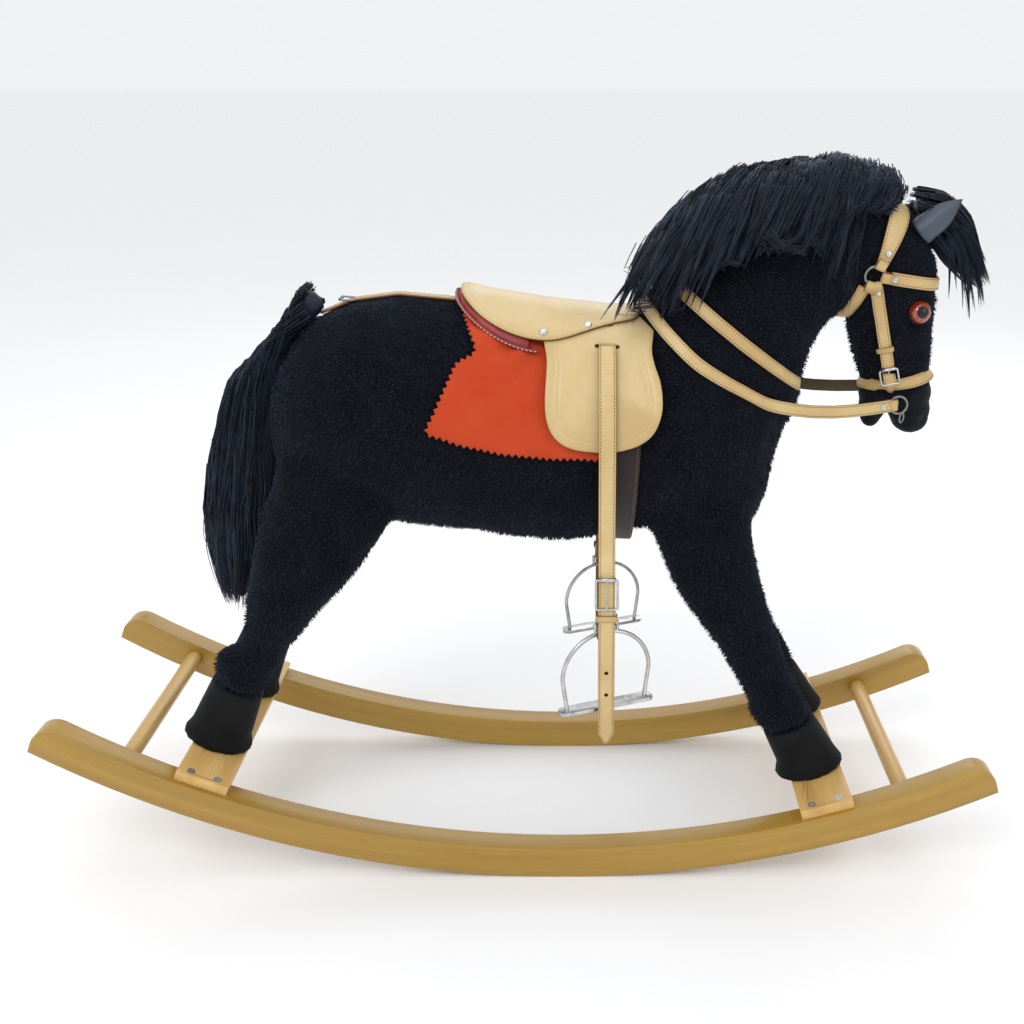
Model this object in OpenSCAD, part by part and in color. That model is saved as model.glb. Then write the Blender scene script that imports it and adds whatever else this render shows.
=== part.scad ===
// Plush rocking horse on two bow rockers, with saddle, cloth, swinging stirrups and bridle.
// Everything is drawn level, about the centre of the bows, and the whole horse is then leaned
// forward by rest_tilt, the way its weight leans it. Units are millimetres, X is forward, Z is up.

/* [Bow rockers] */
// radius of the rolling edge
bow_radius = 1120; // [900:10:1400]
// depth of a bow, bottom to top
bow_depth = 38; // [30:1:50]
// thickness of a bow
bow_width = 28; // [22:1:36]
// distance between the centre planes of the bows
bow_track = 280; // [270:1:320]
// half of the straight length between the lower corners
bow_half_chord = 543.5; // [500:0.5:600]
// lean of a sawn bow end from upright
bow_end_lean = 19.5; // [10:0.5:28]
// rounding of the upper bow corner
bow_corner = 22; // [8:1:28]
// forward lean of the whole horse at rest
rest_tilt = 2.8; // [0:0.1:5]

/* [Cross pieces] */
// stretcher dowel diameter
dowel_d = 20; // [16:1:26]
// angle of the stretcher dowels round the bow
dowel_angle = 24; // [22:0.5:26]
// depth of a dowel socket
socket_depth = 14; // [8:1:18]
// foot plank width along the bow
plank_w = 61; // [50:1:75]
// foot plank thickness
plank_t = 12; // [9:1:18]
// foot plank length across the bows
plank_l = 298; // [290:1:320]
// angle of the foot planks round the bow
plank_angle = 19.3; // [18:0.1:20]
// countersunk screw head diameter
screw_head = 9; // [7:0.5:11]
// screw spacing along the bow
screw_pitch = 31; // [24:1:40]

/* [Inner frame] */
// leg and neck post diameter
post_d = 20; // [16:1:22]
// crossbar section
bar_s = 34; // [28:1:38]
// crossbar length
bar_l = 158; // [150:1:164]
// spine board width
spine_w = 60; // [40:1:80]
// spine board thickness
spine_t = 26; // [20:1:32]

/* [Saddlery] */
// strap leather thickness
strap_t = 2.6; // [2:0.1:3.4]
// bridle and rein strap width
strap_w = 14; // [12:0.5:16]
// stirrup leather width
leather_w = 18; // [15:0.5:20]
// felt cloth thickness
felt_t = 2.2; // [1.5:0.1:3]
// height of the right stirrup eye bar above the floor
right_eye_z = 316; // [290:1:345]
// height of the left stirrup eye bar above the floor
left_eye_z = 284; // [265:1:345]
// turn of the hanging irons about the vertical
iron_yaw = 21; // [0:1:25]

/* [Hidden] */
// clearance between a piece and the one it lies on
gap = 0.4;
// lift of a hoof or post off the plank it stands on
seat_gap = 0.05;
// thin slab used for every station of a stuffed form
slab = 0.1;
// segments of a torso ring, of a leg ring
torso_seg = 26;
limb_seg = 18;
// segments of a whole bow circle, of a rivet, of an eye socket
bow_seg = 720;
rivet_seg = 12;
socket_seg = 20;
$fn = 48;

bow_angle = asin(bow_half_chord / bow_radius);
bow_end_z = bow_radius - bow_radius * cos(bow_angle);
rest_shift = (bow_radius - bow_end_z) * sin(rest_tilt);
bow_y = bow_track / 2;
inner_gap = bow_track - bow_width;
mid_radius = bow_radius - bow_depth / 2;
top_radius = bow_radius - bow_depth;
plank_seat = sqrt(top_radius * top_radius - plank_w * plank_w / 4) - 0.05;
plank_top = plank_seat - plank_t;
foot_y = 66;

// torso stations: [x, centre height, half width, half height]
TORSO = [
    [-289, 498, 30, 38], [-281, 498, 54, 66], [-262, 501, 76, 90], [-235, 506, 95, 111],
    [-200, 511, 107, 122], [-150, 512, 113, 130], [-84, 508, 114, 131], [-30, 503, 113, 130],
    [25, 498, 112, 130], [79, 499, 112, 125], [131, 509, 114, 118], [180, 513, 112, 124],
    [214, 507, 103, 119], [240, 496, 88, 106], [258, 486, 64, 82], [269, 481, 36, 46]
];
// neck stations: [x, z, half depth, half width, lean of the ring about Y]
NECK = [
    [170, 538, 116, 98, 40], [199, 592, 103, 86, 43.5], [227, 639, 91, 73, 50],
    [261, 676, 81, 62, 60.7], [297, 703, 69, 54, 71], [334, 715, 63, 50, 81]
];
// head stations, poll to lips, in the same form
HEAD = [
    [334.4, 715, 63, 50, 81], [358, 708, 63.5, 49, 106], [374, 691, 62, 48.5, 126],
    [385, 664, 58, 47, 141], [391, 633, 51, 43, 148], [397, 602, 44, 38, 156],
    [402, 575, 40, 34.5, 159], [408, 550, 37.5, 32.5, 166], [412, 530, 35, 30, 172],
    [412, 518, 28, 24, 178], [412, 513, 18, 14, 180]
];
// leg stations: [x, y, z, half length, half width, lean], hind and fore
HIND = [
    [-205, 58, 470, 70, 36, 0], [-217, 64, 410, 74, 43, 0], [-245, 69, 352, 60, 42, 8],
    [-272, 71, 300, 43, 37, 14], [-295, 70, 250, 27, 30, 22], [-302, 69, 232, 28, 28, 28],
    [-322, 68, 217, 35, 31, 26], [-330, 67, 190, 30, 28, 24]
];
FORE = [
    [184, 56, 470, 60, 36, 0], [194, 62, 405, 58, 42, 0], [211, 67, 360, 51, 40, -8],
    [230, 69, 322, 44, 36, -16], [262, 69, 268, 33.5, 31, -24], [285, 68, 224, 30, 29, -28],
    [300, 67, 194, 35, 31, -26], [316, 66, 170, 31, 28, -24]
];
// tail and mane stations: [x, z, half depth, half width, lean]
TAIL = [
    [-226, 628, 12, 13, 70], [-248, 625, 20, 20, 86], [-279, 599, 31, 27, 128],
    [-301, 556, 34, 30, 152], [-313, 500, 35, 31, 165], [-321, 440, 40, 32, 174],
    [-327, 385, 42, 32, 178], [-330, 330, 40, 30, 184], [-338, 288, 24, 20, 188],
    [-344, 267, 8, 8, 188]
];
MANE = [
    [112, 655, 24, 30, 20], [128, 682, 32, 44, 30], [152, 707, 38, 54, 44],
    [186, 738, 42, 58, 50], [226, 757, 44, 58, 66], [268, 770, 38, 54, 80],
    [312, 776, 40, 48, 88], [350, 772, 36, 40, 100], [372, 762, 24, 30, 118]
];
FORELOCK = [
    [392, 762, 12, 20, 95], [416, 757, 16, 24, 112], [438, 738, 17, 25, 135],
    [454, 714, 14, 22, 142], [470, 694, 9, 15, 140], [486, 678, 4, 6, 140]
];
// right saddle flap outline, along and up
FLAP = [
    [0, 640], [10, 618], [15, 596], [15, 562], [17, 543], [23, 528], [34, 517], [50, 511.5],
    [74, 510], [96, 513], [114, 520], [127, 531], [134, 546], [136, 562], [133, 582],
    [124, 606], [116, 640]
];
// seat outline, along and across, right half
SEAT = [
    [-82, 0], [-81, 16], [-77, 33], [-68, 48], [-55, 60], [-38, 69], [-18, 74.5], [2, 76],
    [20, 74], [38, 68], [56, 59], [80, 46], [106, 36], [112, 0]
];
// cloth outline, along and up: top rear, step, rear corner, hem, front
CLOTH = [
    [-78, 700], [-72, 640], [-60, 599], [-77, 589], [-106, 521], [-71, 509], [-29, 501],
    [33, 498], [78, 500], [108, 520], [104, 600], [100, 700]
];

// a level point as it stands after the lean
function leaned(p) = [
    rest_shift + p.x * cos(rest_tilt) + (p.z - bow_radius) * sin(rest_tilt),
    p.y,
    bow_radius - p.x * sin(rest_tilt) + (p.z - bow_radius) * cos(rest_tilt)
];
// torso centre height, half width and half height at x
function torso_z(x) = lookup(x, [for (s = TORSO) [s[0], s[1]]]);
function torso_w(x) = lookup(x, [for (s = TORSO) [s[0], s[2]]]);
function torso_h(x) = lookup(x, [for (s = TORSO) [s[0], s[3]]]);

// stirrup slot: place round the torso, and where the leather starts to hang
slot_x = 77;
slot_turn = 36;
slot_off = 14.4;
slot_pt = [
    slot_x,
    (torso_w(slot_x) + slot_off) * sin(slot_turn),
    torso_z(slot_x) + (torso_h(slot_x) + slot_off) * cos(slot_turn)
];
hang = leaned(slot_pt);
hang_off = slot_off - strap_t / 2 + 2;
hang_y = torso_w(slot_x) + hang_off;
eye_y = hang_y + strap_t + 2.6;
// the spare end: its inner face beside the buckle, and where the tread holds it out
tail_y = eye_y + 8.5;
tail_low_y = eye_y + 16.5;
iron_top = 99.5;
// heights over the eye bar between which the leather twists to the turn of the iron
twist_low = 7;
twist_top = 24;

// posts: foot on the plank, head in the crossbar
hip = [-208, 468];
shoulder = [184, 468];
hind_foot = [-357, 112];
fore_foot = [347, 109];
hind_turn = atan2(hip.x - hind_foot.x, hip.y - hind_foot.y);
fore_turn = atan2(shoulder.x - fore_foot.x, shoulder.y - fore_foot.y);
neck_foot = [186, 486];
neck_head = [286, 696];
neck_turn = atan2(neck_head.x - neck_foot.x, neck_head.y - neck_foot.y);

// which node is drawn

// ---------- placing ----------
// the forward lean of the whole horse
module rest() {
    translate([rest_shift, 0, bow_radius])
        rotate([0, rest_tilt, 0])
            translate([0, 0, -bow_radius])
                children();
}
// a place on the bow: a is the angle forward, r the distance from the bow centre
module on_bow(a, r) {
    translate([0, 0, bow_radius])
        rotate([0, -a, 0])
            translate([0, 0, -r])
                children();
}
// a sheet drawn along and up, made into a block right through the horse
module side_block(half = 220) {
    rotate([90, 0, 0])
        linear_extrude(2 * half, center = true)
            children();
}
module mirror_left() {
    mirror([0, 1, 0])
        children();
}

// ---------- stuffed forms ----------
module ring(x, y, z, a, b, lean, seg) {
    translate([x, y, z])
        rotate([0, lean, 0])
            scale([a, b, 1])
                cylinder(r = 1, h = slab, center = true, $fn = seg);
}
module torso_form(g) {
    for (i = [0:len(TORSO) - 2])
        hull() {
            torso_ring(TORSO[i], g);
            torso_ring(TORSO[i + 1], g);
        }
}
module torso_ring(s, g) {
    ring(s[0], 0, s[1], s[3] + g, s[2] + g, 90, torso_seg);
}
module loft_form(list, g, seg, y = 0) {
    for (i = [0:len(list) - 2])
        hull() {
            loft_ring(list[i], g, seg, y);
            loft_ring(list[i + 1], g, seg, y);
        }
}
module loft_ring(s, g, seg, y) {
    ring(s[0], y, s[1], s[2] + g, s[3] + g, s[4], seg);
}
module leg_form(list, g) {
    for (i = [0:len(list) - 2])
        hull() {
            leg_ring(list[i], g);
            leg_ring(list[i + 1], g);
        }
}
module leg_ring(s, g) {
    ring(s[0], -s[1], s[2], s[3] + g, s[4] + g, s[5], limb_seg);
}
module neck_head_form(g) {
    loft_form(NECK, g, 22);
    loft_form(HEAD, g, 22);
}

// ---------- bow rockers ----------
module bow_outline() {
    difference() {
        intersection() {
            difference() {
                circle(r = bow_radius, $fn = bow_seg);
                circle(r = top_radius, $fn = bow_seg);
            }
            bow_wedge();
        }
        bow_corner_cut();
        mirror([1, 0])
            bow_corner_cut();
    }
}
module bow_wedge() {
    x0 = bow_half_chord;
    y0 = -bow_radius * cos(bow_angle);
    rise = 90;
    drop = 160;
    polygon([
        [x0 - rise * tan(bow_end_lean), y0 + rise],
        [x0 + drop * tan(bow_end_lean), y0 - drop],
        [-x0 - drop * tan(bow_end_lean), y0 - drop],
        [-x0 + rise * tan(bow_end_lean), y0 + rise]
    ]);
}
// the waste outside the rounded upper corner
module bow_corner_cut() {
    x0 = bow_half_chord;
    y0 = -bow_radius * cos(bow_angle);
    ne = [cos(bow_end_lean), sin(bow_end_lean)];
    rc = top_radius + bow_corner;
    d = ne * [x0, y0] - bow_corner;
    phi = bow_end_lean - acos(d / rc);
    c = rc * [cos(phi), sin(phi)];
    nt = -c / norm(c);
    far = bow_corner + 8;
    difference() {
        polygon([c, c + far * ne, c + far * (ne + nt) / (1 + ne * nt), c + far * nt]);
        translate(c)
            circle(r = bow_corner + 0.05);
    }
}
module rocker(side) {
    difference() {
        translate([0, side * bow_y, bow_radius])
            rotate([90, 0, 0])
                linear_extrude(bow_width, center = true)
                    bow_outline();
        for (a = [-dowel_angle, dowel_angle])
            on_bow(a, mid_radius)
                translate([0, side * (bow_y - bow_width / 2 + socket_depth / 2 - 1), 0])
                    rotate([90, 0, 0])
                        cylinder(d = dowel_d + 0.2, h = socket_depth + 2.2, center = true);
        screw_places([-plank_angle, plank_angle])
            translate([0, 0, -45])
                cylinder(d = 4.7, h = 60);
    }
}
module right_rocker() {
    color("goldenrod")
        rest()
            rocker(-1);
}
module left_rocker() {
    color("goldenrod")
        rest()
            rocker(1);
}
module stretcher(a) {
    on_bow(a, mid_radius)
        rotate([90, 0, 0])
            cylinder(d = dowel_d, h = inner_gap + 2 * socket_depth, center = true);
}
module front_stretcher() {
    color("khaki")
        rest()
            stretcher(dowel_angle);
}
module rear_stretcher() {
    color("khaki")
        rest()
            stretcher(-dowel_angle);
}

// ---------- foot planks ----------
// the four screws of each plank, from the plank top
module screw_places(angles) {
    for (a = angles, s = [-1, 1], u = [-0.5, 0.5])
        on_bow(a, plank_top)
            translate([u * screw_pitch, s * bow_y, 0])
                children();
}
module post_screw_places(side_angles) {
    for (q = side_angles, s = [-1, 1])
        on_bow(q[0], plank_seat)
            translate([q[1], s * foot_y, 0])
                children();
}
module plank(a, u) {
    difference() {
        on_bow(a, plank_seat)
            translate([-plank_w / 2, -plank_l / 2, 0])
                cube([plank_w, plank_l, plank_t]);
        screw_places([a]) {
            translate([0, 0, -30])
                cylinder(d = 4.7, h = 40);
            translate([0, 0, -3.05])
                cylinder(d1 = 4.3, d2 = screw_head + 0.4, h = 3.1);
        }
        post_screw_places([[a, u]]) {
            translate([0, 0, -1])
                cylinder(d = 5.2, h = 30);
            translate([0, 0, -0.05])
                cylinder(d1 = 11.4, d2 = 5, h = 3.4);
        }
    }
}
fore_u = -6;
hind_u = -4;
module front_plank() {
    color("sandybrown")
        rest()
            plank(plank_angle, fore_u);
}
module rear_plank() {
    color("sandybrown")
        rest()
            plank(-plank_angle, hind_u);
}
module wood_screw() {
    difference() {
        union() {
            translate([0, 0, -36])
                cylinder(d = 4.5, h = 34);
            translate([0, 0, -3])
                cylinder(d1 = 4, d2 = screw_head, h = 3);
        }
        cube([4.6, 1.1, 2.6], center = true);
        cube([1.1, 4.6, 2.6], center = true);
    }
}
module plank_screws() {
    color("silver")
        rest()
            screw_places([-plank_angle, plank_angle])
                wood_screw();
}
module post_screw() {
    translate([0, 0, 0.1])
        cylinder(d1 = 11, d2 = 5, h = 3.2);
    translate([0, 0, 1.4])
        cylinder(d = 5, h = 52);
}
module post_screws() {
    color("silver")
        rest()
            post_screw_places([[-plank_angle, hind_u], [plank_angle, fore_u]])
                post_screw();
}

// ---------- inner frame ----------
module hind_rod(d, extra) {
    translate([hind_foot.x, -foot_y, hind_foot.y])
        rotate([0, hind_turn, 0])
            translate([0, 0, -40])
                cylinder(d = d, h = 40 + norm(hip - hind_foot) + extra);
}
module fore_rod(d, extra) {
    translate([fore_foot.x, -foot_y, fore_foot.y])
        rotate([0, fore_turn, 0])
            translate([0, 0, -40])
                cylinder(d = d, h = 40 + norm(shoulder - fore_foot) + extra);
}
// all the wood below a plank's top face
module below_plank(a) {
    on_bow(a, plank_top)
        translate([-150, -200, seat_gap - 200])
            cube([300, 400, 200]);
}
module hind_post() {
    difference() {
        hind_rod(post_d, 0);
        below_plank(-plank_angle);
        post_screw_places([[-plank_angle, hind_u]])
            cylinder(d = 5.2, h = 54);
    }
}
module fore_post() {
    difference() {
        fore_rod(post_d, 0);
        below_plank(plank_angle);
        post_screw_places([[plank_angle, fore_u]])
            cylinder(d = 5.2, h = 54);
    }
}
module right_hind_post() {
    color("burlywood")
        rest()
            hind_post();
}
module left_hind_post() {
    color("burlywood")
        rest()
            mirror_left()
                hind_post();
}
module right_fore_post() {
    color("burlywood")
        rest()
            fore_post();
}
module left_fore_post() {
    color("burlywood")
        rest()
            mirror_left()
                fore_post();
}
module hip_bar(g) {
    translate([hip.x, 0, hip.y])
        rotate([0, hind_turn, 0])
            cube([bar_s + 2 * g, bar_l + 2 * g, bar_s + 2 * g], center = true);
}
module shoulder_bar(g) {
    translate([shoulder.x, 0, shoulder.y])
        rotate([0, fore_turn, 0])
            cube([bar_s + 2 * g, bar_l + 2 * g, bar_s + 2 * g], center = true);
}
module hip_crossbar() {
    color("tan")
        rest()
            difference() {
                hip_bar(0);
                hind_rod(post_d + 0.2, 0.1);
                mirror_left()
                    hind_rod(post_d + 0.2, 0.1);
            }
}
module shoulder_crossbar() {
    color("tan")
        rest()
            difference() {
                shoulder_bar(0);
                fore_rod(post_d + 0.2, 0.1);
                mirror_left()
                    fore_rod(post_d + 0.2, 0.1);
                neck_rod(post_d + 0.2, 0.1);
            }
}
module spine_bar(g) {
    translate([(hip.x + shoulder.x) / 2, 0, hip.y])
        cube([shoulder.x - hip.x, spine_w + 2 * g, spine_t + 2 * g], center = true);
}
module spine_board() {
    color("tan")
        rest()
            difference() {
                spine_bar(0);
                hip_bar(0.1);
                shoulder_bar(0.1);
                neck_rod(post_d + 0.4, 0);
            }
}
module neck_rod(d, extra) {
    translate([neck_foot.x, 0, neck_foot.y])
        rotate([0, neck_turn, 0])
            translate([0, 0, -12 - extra])
                cylinder(d = d, h = 12 + extra + norm(neck_head - neck_foot));
}
module head_rod(d, extra) {
    translate([270, 0, 690])
        rotate([0, 106, 0])
            cylinder(d = d, h = 112 + extra);
}
module neck_post() {
    color("burlywood")
        rest()
            difference() {
                neck_rod(post_d, 0);
                head_rod(12.2, 0);
            }
}
module head_peg() {
    color("burlywood")
        rest()
            head_rod(12, 0);
}
// room for the frame inside the stuffing
module frame_room() {
    hind_rod(post_d + 0.6, 0.4);
    fore_rod(post_d + 0.6, 0.4);
    mirror_left() {
        hind_rod(post_d + 0.6, 0.4);
        fore_rod(post_d + 0.6, 0.4);
    }
    hip_bar(0.3);
    shoulder_bar(0.3);
    spine_bar(0.3);
    neck_rod(post_d + 0.6, 0.3);
    head_rod(12.6, 0.3);
}

// ---------- plush horse ----------
module torso() {
    color([0.1, 0.1, 0.13])
        rest()
            difference() {
                torso_form(0);
                frame_room();
            }
}
module neck() {
    color([0.1, 0.1, 0.13])
        rest()
            difference() {
                loft_form(NECK, 0, 22);
                torso_form(gap);
                frame_room();
            }
}
module head() {
    color([0.1, 0.1, 0.13])
        rest()
            difference() {
                loft_form(HEAD, 0, 22);
                loft_form(NECK, gap, 22);
                frame_room();
                mouth_cut();
                eye_socket();
            }
}
// the cleft between the chin and the upper lip
module mouth_cut() {
    side_block(90)
        polygon([[388, 500], [399, 532], [402, 532], [405, 500]]);
}
module hind_leg() {
    difference() {
        leg_form(HIND, 0);
        torso_form(gap);
        frame_room();
    }
}
module fore_leg() {
    difference() {
        leg_form(FORE, 0);
        torso_form(gap);
        neck_room();
        frame_room();
    }
}
module neck_room() {
    loft_form([NECK[0], NECK[1]], gap, 22);
}
module right_hind_leg() {
    color([0.1, 0.1, 0.13])
        rest()
            hind_leg();
}
module left_hind_leg() {
    color([0.1, 0.1, 0.13])
        rest()
            mirror_left()
                hind_leg();
}
module right_fore_leg() {
    color([0.1, 0.1, 0.13])
        rest()
            fore_leg();
}
module left_fore_leg() {
    color([0.1, 0.1, 0.13])
        rest()
            mirror_left()
                fore_leg();
}
// a hoof runs from the last leg station to the plank, a and u give its place there
module hoof(list, a, u) {
    s = list[len(list) - 1];
    difference() {
        union() {
            hull() {
                leg_ring([s[0], s[1], s[2] - 0.5, s[3], s[4], s[5]], 0.5);
                hoof_ring(a, u, 18, 36, 29);
            }
            hull() {
                hoof_ring(a, u, 18, 36, 29);
                hoof_ring(a, u, 6, 41, 31.5);
            }
            hull() {
                hoof_ring(a, u, 6, 41, 31.5);
                hoof_ring(a, u, 0.15, 40.5, 31);
            }
        }
        leg_form([list[len(list) - 2], s], gap);
        hind_rod(post_d + 0.6, 0);
        fore_rod(post_d + 0.6, 0);
        below_plank(a);
    }
}
module hoof_ring(a, u, h, p, q) {
    on_bow(a, plank_top)
        translate([u, -foot_y, h])
            scale([p, q, 1])
                cylinder(r = 1, h = slab, $fn = limb_seg);
}
module hind_hoof() {
    hoof(HIND, -plank_angle, -7);
}
module fore_hoof() {
    hoof(FORE, plank_angle, -5);
}
module right_hind_hoof() {
    color([0.06, 0.06, 0.07])
        rest()
            hind_hoof();
}
module left_hind_hoof() {
    color([0.06, 0.06, 0.07])
        rest()
            mirror_left()
                hind_hoof();
}
module right_fore_hoof() {
    color([0.06, 0.06, 0.07])
        rest()
            fore_hoof();
}
module left_fore_hoof() {
    color([0.06, 0.06, 0.07])
        rest()
            mirror_left()
                fore_hoof();
}
module ear() {
    difference() {
        union() {
            hull() {
                ring(392, -33, 741, 9, 13, 40, limb_seg);
                ring(404, -36, 752, 8, 14, 42, limb_seg);
            }
            hull() {
                ring(404, -36, 752, 8, 14, 42, limb_seg);
                ring(420, -37, 768, 5, 10, 46, limb_seg);
            }
            hull() {
                ring(420, -37, 768, 5, 10, 46, limb_seg);
                ring(432, -36, 778, 1.5, 2.5, 50, limb_seg);
            }
        }
        neck_head_form(gap);
    }
}
module right_ear() {
    color("slategray")
        rest()
            ear();
}
module left_ear() {
    color("slategray")
        rest()
            mirror_left()
                ear();
}
module eye_ball(r) {
    translate([407, -36, 655])
        sphere(r = r);
}
module eye_socket() {
    translate([407, -36, 655])
        sphere(r = 13, $fn = socket_seg);
    mirror_left()
        translate([407, -36, 655])
            sphere(r = 13, $fn = socket_seg);
}
module right_eye() {
    color("darkorange")
        rest()
            eye_ball(12.5);
}
module left_eye() {
    color("darkorange")
        rest()
            mirror_left()
                eye_ball(12.5);
}

// ---------- hair ----------
module mane() {
    color([0.06, 0.06, 0.08])
        rest()
            difference() {
                loft_form(MANE, 0, 18, -8);
                neck_head_form(gap);
                torso_form(gap);
                strap_room();
            }
}
// the tunnel that each strap crossing the crest keeps under the hair
module strap_room() {
    intersection() {
        side_block()
            union() {
                crown_band(strap_w / 2 + 5);
                neck_band(strap_w / 2 + 0.6);
            }
        neck_head_form(strap_b + 0.4);
    }
    behind_reins();
}
// the reins lie across the withers, and no hair grows behind them
module behind_reins() {
    side_block()
        polygon([[268, 556], [104, 675], [60, 707], [0, 700], [0, 400], [262, 400]]);
}
module forelock() {
    color([0.06, 0.06, 0.08])
        rest()
            difference() {
                loft_form(FORELOCK, 0, 16);
                neck_head_form(gap);
                loft_form(MANE, gap, 18, -8);
                crown_room();
                ear();
                mirror_left()
                    ear();
            }
}
module crown_room() {
    side_block(80)
        crown_band(strap_w / 2 + 5);
}
module tail() {
    color([0.06, 0.06, 0.08])
        rest()
            difference() {
                loft_form(TAIL, 0, 20);
                torso_form(gap);
                tail_legs();
                crupper_room();
            }
}
module tail_legs() {
    leg_form([HIND[1], HIND[2], HIND[3], HIND[4]], gap);
    mirror_left()
        leg_form([HIND[1], HIND[2], HIND[3], HIND[4]], gap);
}
module crupper_room() {
    translate([-236, -9, 560])
        cube([60, 18, 100]);
}

// ---------- saddle ----------
// a layer that follows the torso, between two heights above it
module torso_layer(a, b) {
    difference() {
        torso_form(b);
        torso_form(a);
    }
}
module saddle_cloth() {
    color("orangered")
        rest()
            difference() {
                intersection() {
                    torso_layer(gap, gap + felt_t);
                    side_block()
                        polygon(CLOTH);
                }
                neck_head_form(gap);
            }
}
module seat_plan(g) {
    offset(delta = g)
        polygon(concat(SEAT, [for (i = [len(SEAT) - 2:-1:1]) [SEAT[i].x, -SEAT[i].y]]));
}
panel_t = 9.6;
seat_a = gap + felt_t + 0.3 + panel_t + 0.4;
seat_b = seat_a + 3.4;
module saddle_panel() {
    color("darkred")
        rest()
            intersection() {
                torso_layer(gap + felt_t + 0.3, seat_a - 0.4);
                translate([0, 0, 500])
                    linear_extrude(200)
                        difference() {
                            seat_plan(4);
                            translate([-3, 49])
                                square([200, 200]);
                            translate([-3, -249])
                                square([200, 200]);
                            translate([88, -100])
                                square([200, 200]);
                        }
            }
}
module saddle_seat() {
    color("wheat")
        rest()
            difference() {
                intersection() {
                    torso_layer(seat_a, seat_b);
                    translate([0, 0, 540])
                        linear_extrude(200)
                            seat_plan(0);
                }
                neck_head_form(gap);
            }
}
module flap() {
    difference() {
        intersection() {
            torso_layer(seat_a - 3.6, seat_a - 0.6);
            translate([0, -120, 0])
                side_block(68)
                    polygon(FLAP);
        }
        slot_cut();
        neck_head_form(gap);
    }
}
// the stirrup slot in a flap, cut square to its face
module slot_cut() {
    translate([slot_pt.x, -slot_pt.y, slot_pt.z])
        rotate([slot_turn, 0, 0])
            cube([leather_w + 11, 11, 26], center = true);
}
module right_flap() {
    color("wheat")
        rest()
            flap();
}
module left_flap() {
    color("wheat")
        rest()
            mirror_left()
                flap();
}
// the sewn-in ends of the stirrup leathers, filling the slots
module stirrup_tab() {
    translate([slot_pt.x, -slot_pt.y, slot_pt.z])
        rotate([slot_turn, 0, 0])
            translate([0, 1.6, -2.6])
                cube([leather_w, strap_t, 5.6], center = true);
}
module stirrup_tabs() {
    color("burlywood")
        rest() {
            stirrup_tab();
            mirror_left()
                stirrup_tab();
        }
}
module girth() {
    color([0.3, 0.08, 0.08])
        rest()
            intersection() {
                torso_layer(gap + felt_t + 0.3, gap + felt_t + 0.3 + strap_t);
                translate([78, -200, 300])
                    cube([39, 400, 270]);
            }
}
module crupper_strap() {
    color("tan")
        rest()
            intersection() {
                torso_layer(gap + 0.2, gap + 0.2 + strap_t);
                translate([-234, -strap_w / 2, 560])
                    cube([147, strap_w, 120]);
            }
}
module crupper_buckle() {
    color("silver")
        rest()
            difference() {
                intersection() {
                    torso_layer(gap + strap_t + 0.5, gap + strap_t + 2.7);
                    translate([-214, -11, 560])
                        cube([17, 22, 120]);
                }
                translate([-211.4, -8.4, 560])
                    cube([11.8, 16.8, 120]);
            }
}

// ---------- stirrups, hanging plumb ----------
// side views of the hanging leather, outward and up, with the eye bar at eye_z:
// the two layers from the slot down to the eye bar
module leather_back(eye_z) {
    w = torso_w(slot_x) + hang_off;
    h = torso_h(slot_x) + hang_off;
    zc = leaned([slot_x, 0, torso_z(slot_x)]).z;
    turns = [for (a = [slot_turn + 2:6:90]) a];
    top_z = eye_z + 66;
    polygon(concat(
        [for (a = turns) [w * sin(a), zc + h * cos(a)]],
        [[hang_y, eye_z + twist_top], [hang_y + strap_t, eye_z + twist_top]],
        [[hang_y + strap_t, top_z], [hang_y + 2 * strap_t, top_z + 8]],
        [for (i = [len(turns) - 1:-1:0])
            [(w + 2 * strap_t) * sin(turns[i]), zc + (h + 2 * strap_t) * cos(turns[i])]]
    ));
}
// the end that comes forward through the buckle and hangs down outside the tread
module leather_tail(eye_z) {
    top_z = eye_z + 66;
    polygon([
        [hang_y + strap_t / 2, top_z + 8], [hang_y + 1.5 * strap_t, top_z + 14],
        [tail_y + strap_t, top_z - 14], [tail_low_y + strap_t, eye_z - iron_top],
        [tail_low_y + strap_t, eye_z - 140], [tail_low_y, eye_z - 140],
        [tail_low_y, eye_z - iron_top], [tail_y, top_z - 18], [hang_y + strap_t / 2, top_z - 4]
    ]);
}
// the return, from the top of the twist out to the buckle
module leather_return(eye_z) {
    polygon([
        [eye_y + 2.6, eye_z + twist_top], [eye_y + 2.6 + strap_t, eye_z + twist_top],
        [eye_y + 2.6 + strap_t, eye_z + 27], [tail_y + 1.2, eye_z + 34],
        [tail_y + 1.2, eye_z + 42], [tail_y - 1, eye_z + 42], [eye_y + 2.6, eye_z + 29]
    ]);
}
// the two layers below the buckle seen from above, about the eye bar
module leather_pair() {
    for (s = [-1, 1])
        translate([0, s * (2.6 + strap_t / 2)])
            square([leather_w, strap_t], center = true);
}
// the loop round the eye bar: it takes the turn of the iron, and twists out of it above
module leather_loop(eye_z, yaw) {
    translate([hang.x, -eye_y, eye_z])
        rotate([0, 0, yaw]) {
            translate([0, 0, -0.3])
                linear_extrude(twist_low + 0.6)
                    leather_pair();
            rotate([90, 0, 90])
                linear_extrude(leather_w, center = true)
                    leather_turn();
            translate([0, 0, twist_low])
                linear_extrude(twist_top - twist_low + 0.3, twist = yaw, slices = 6)
                    leather_pair();
        }
}
// the half turn under the eye bar
module leather_turn() {
    difference() {
        circle(r = 2.6 + strap_t);
        circle(r = 2.6);
        translate([-10, 0])
            square([20, 10]);
    }
}
module across_leather() {
    translate([hang.x, 0, 0])
        rotate([0, 0, -90])
            rotate([90, 0, 0])
                linear_extrude(leather_w, center = true)
                    children();
}
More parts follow.
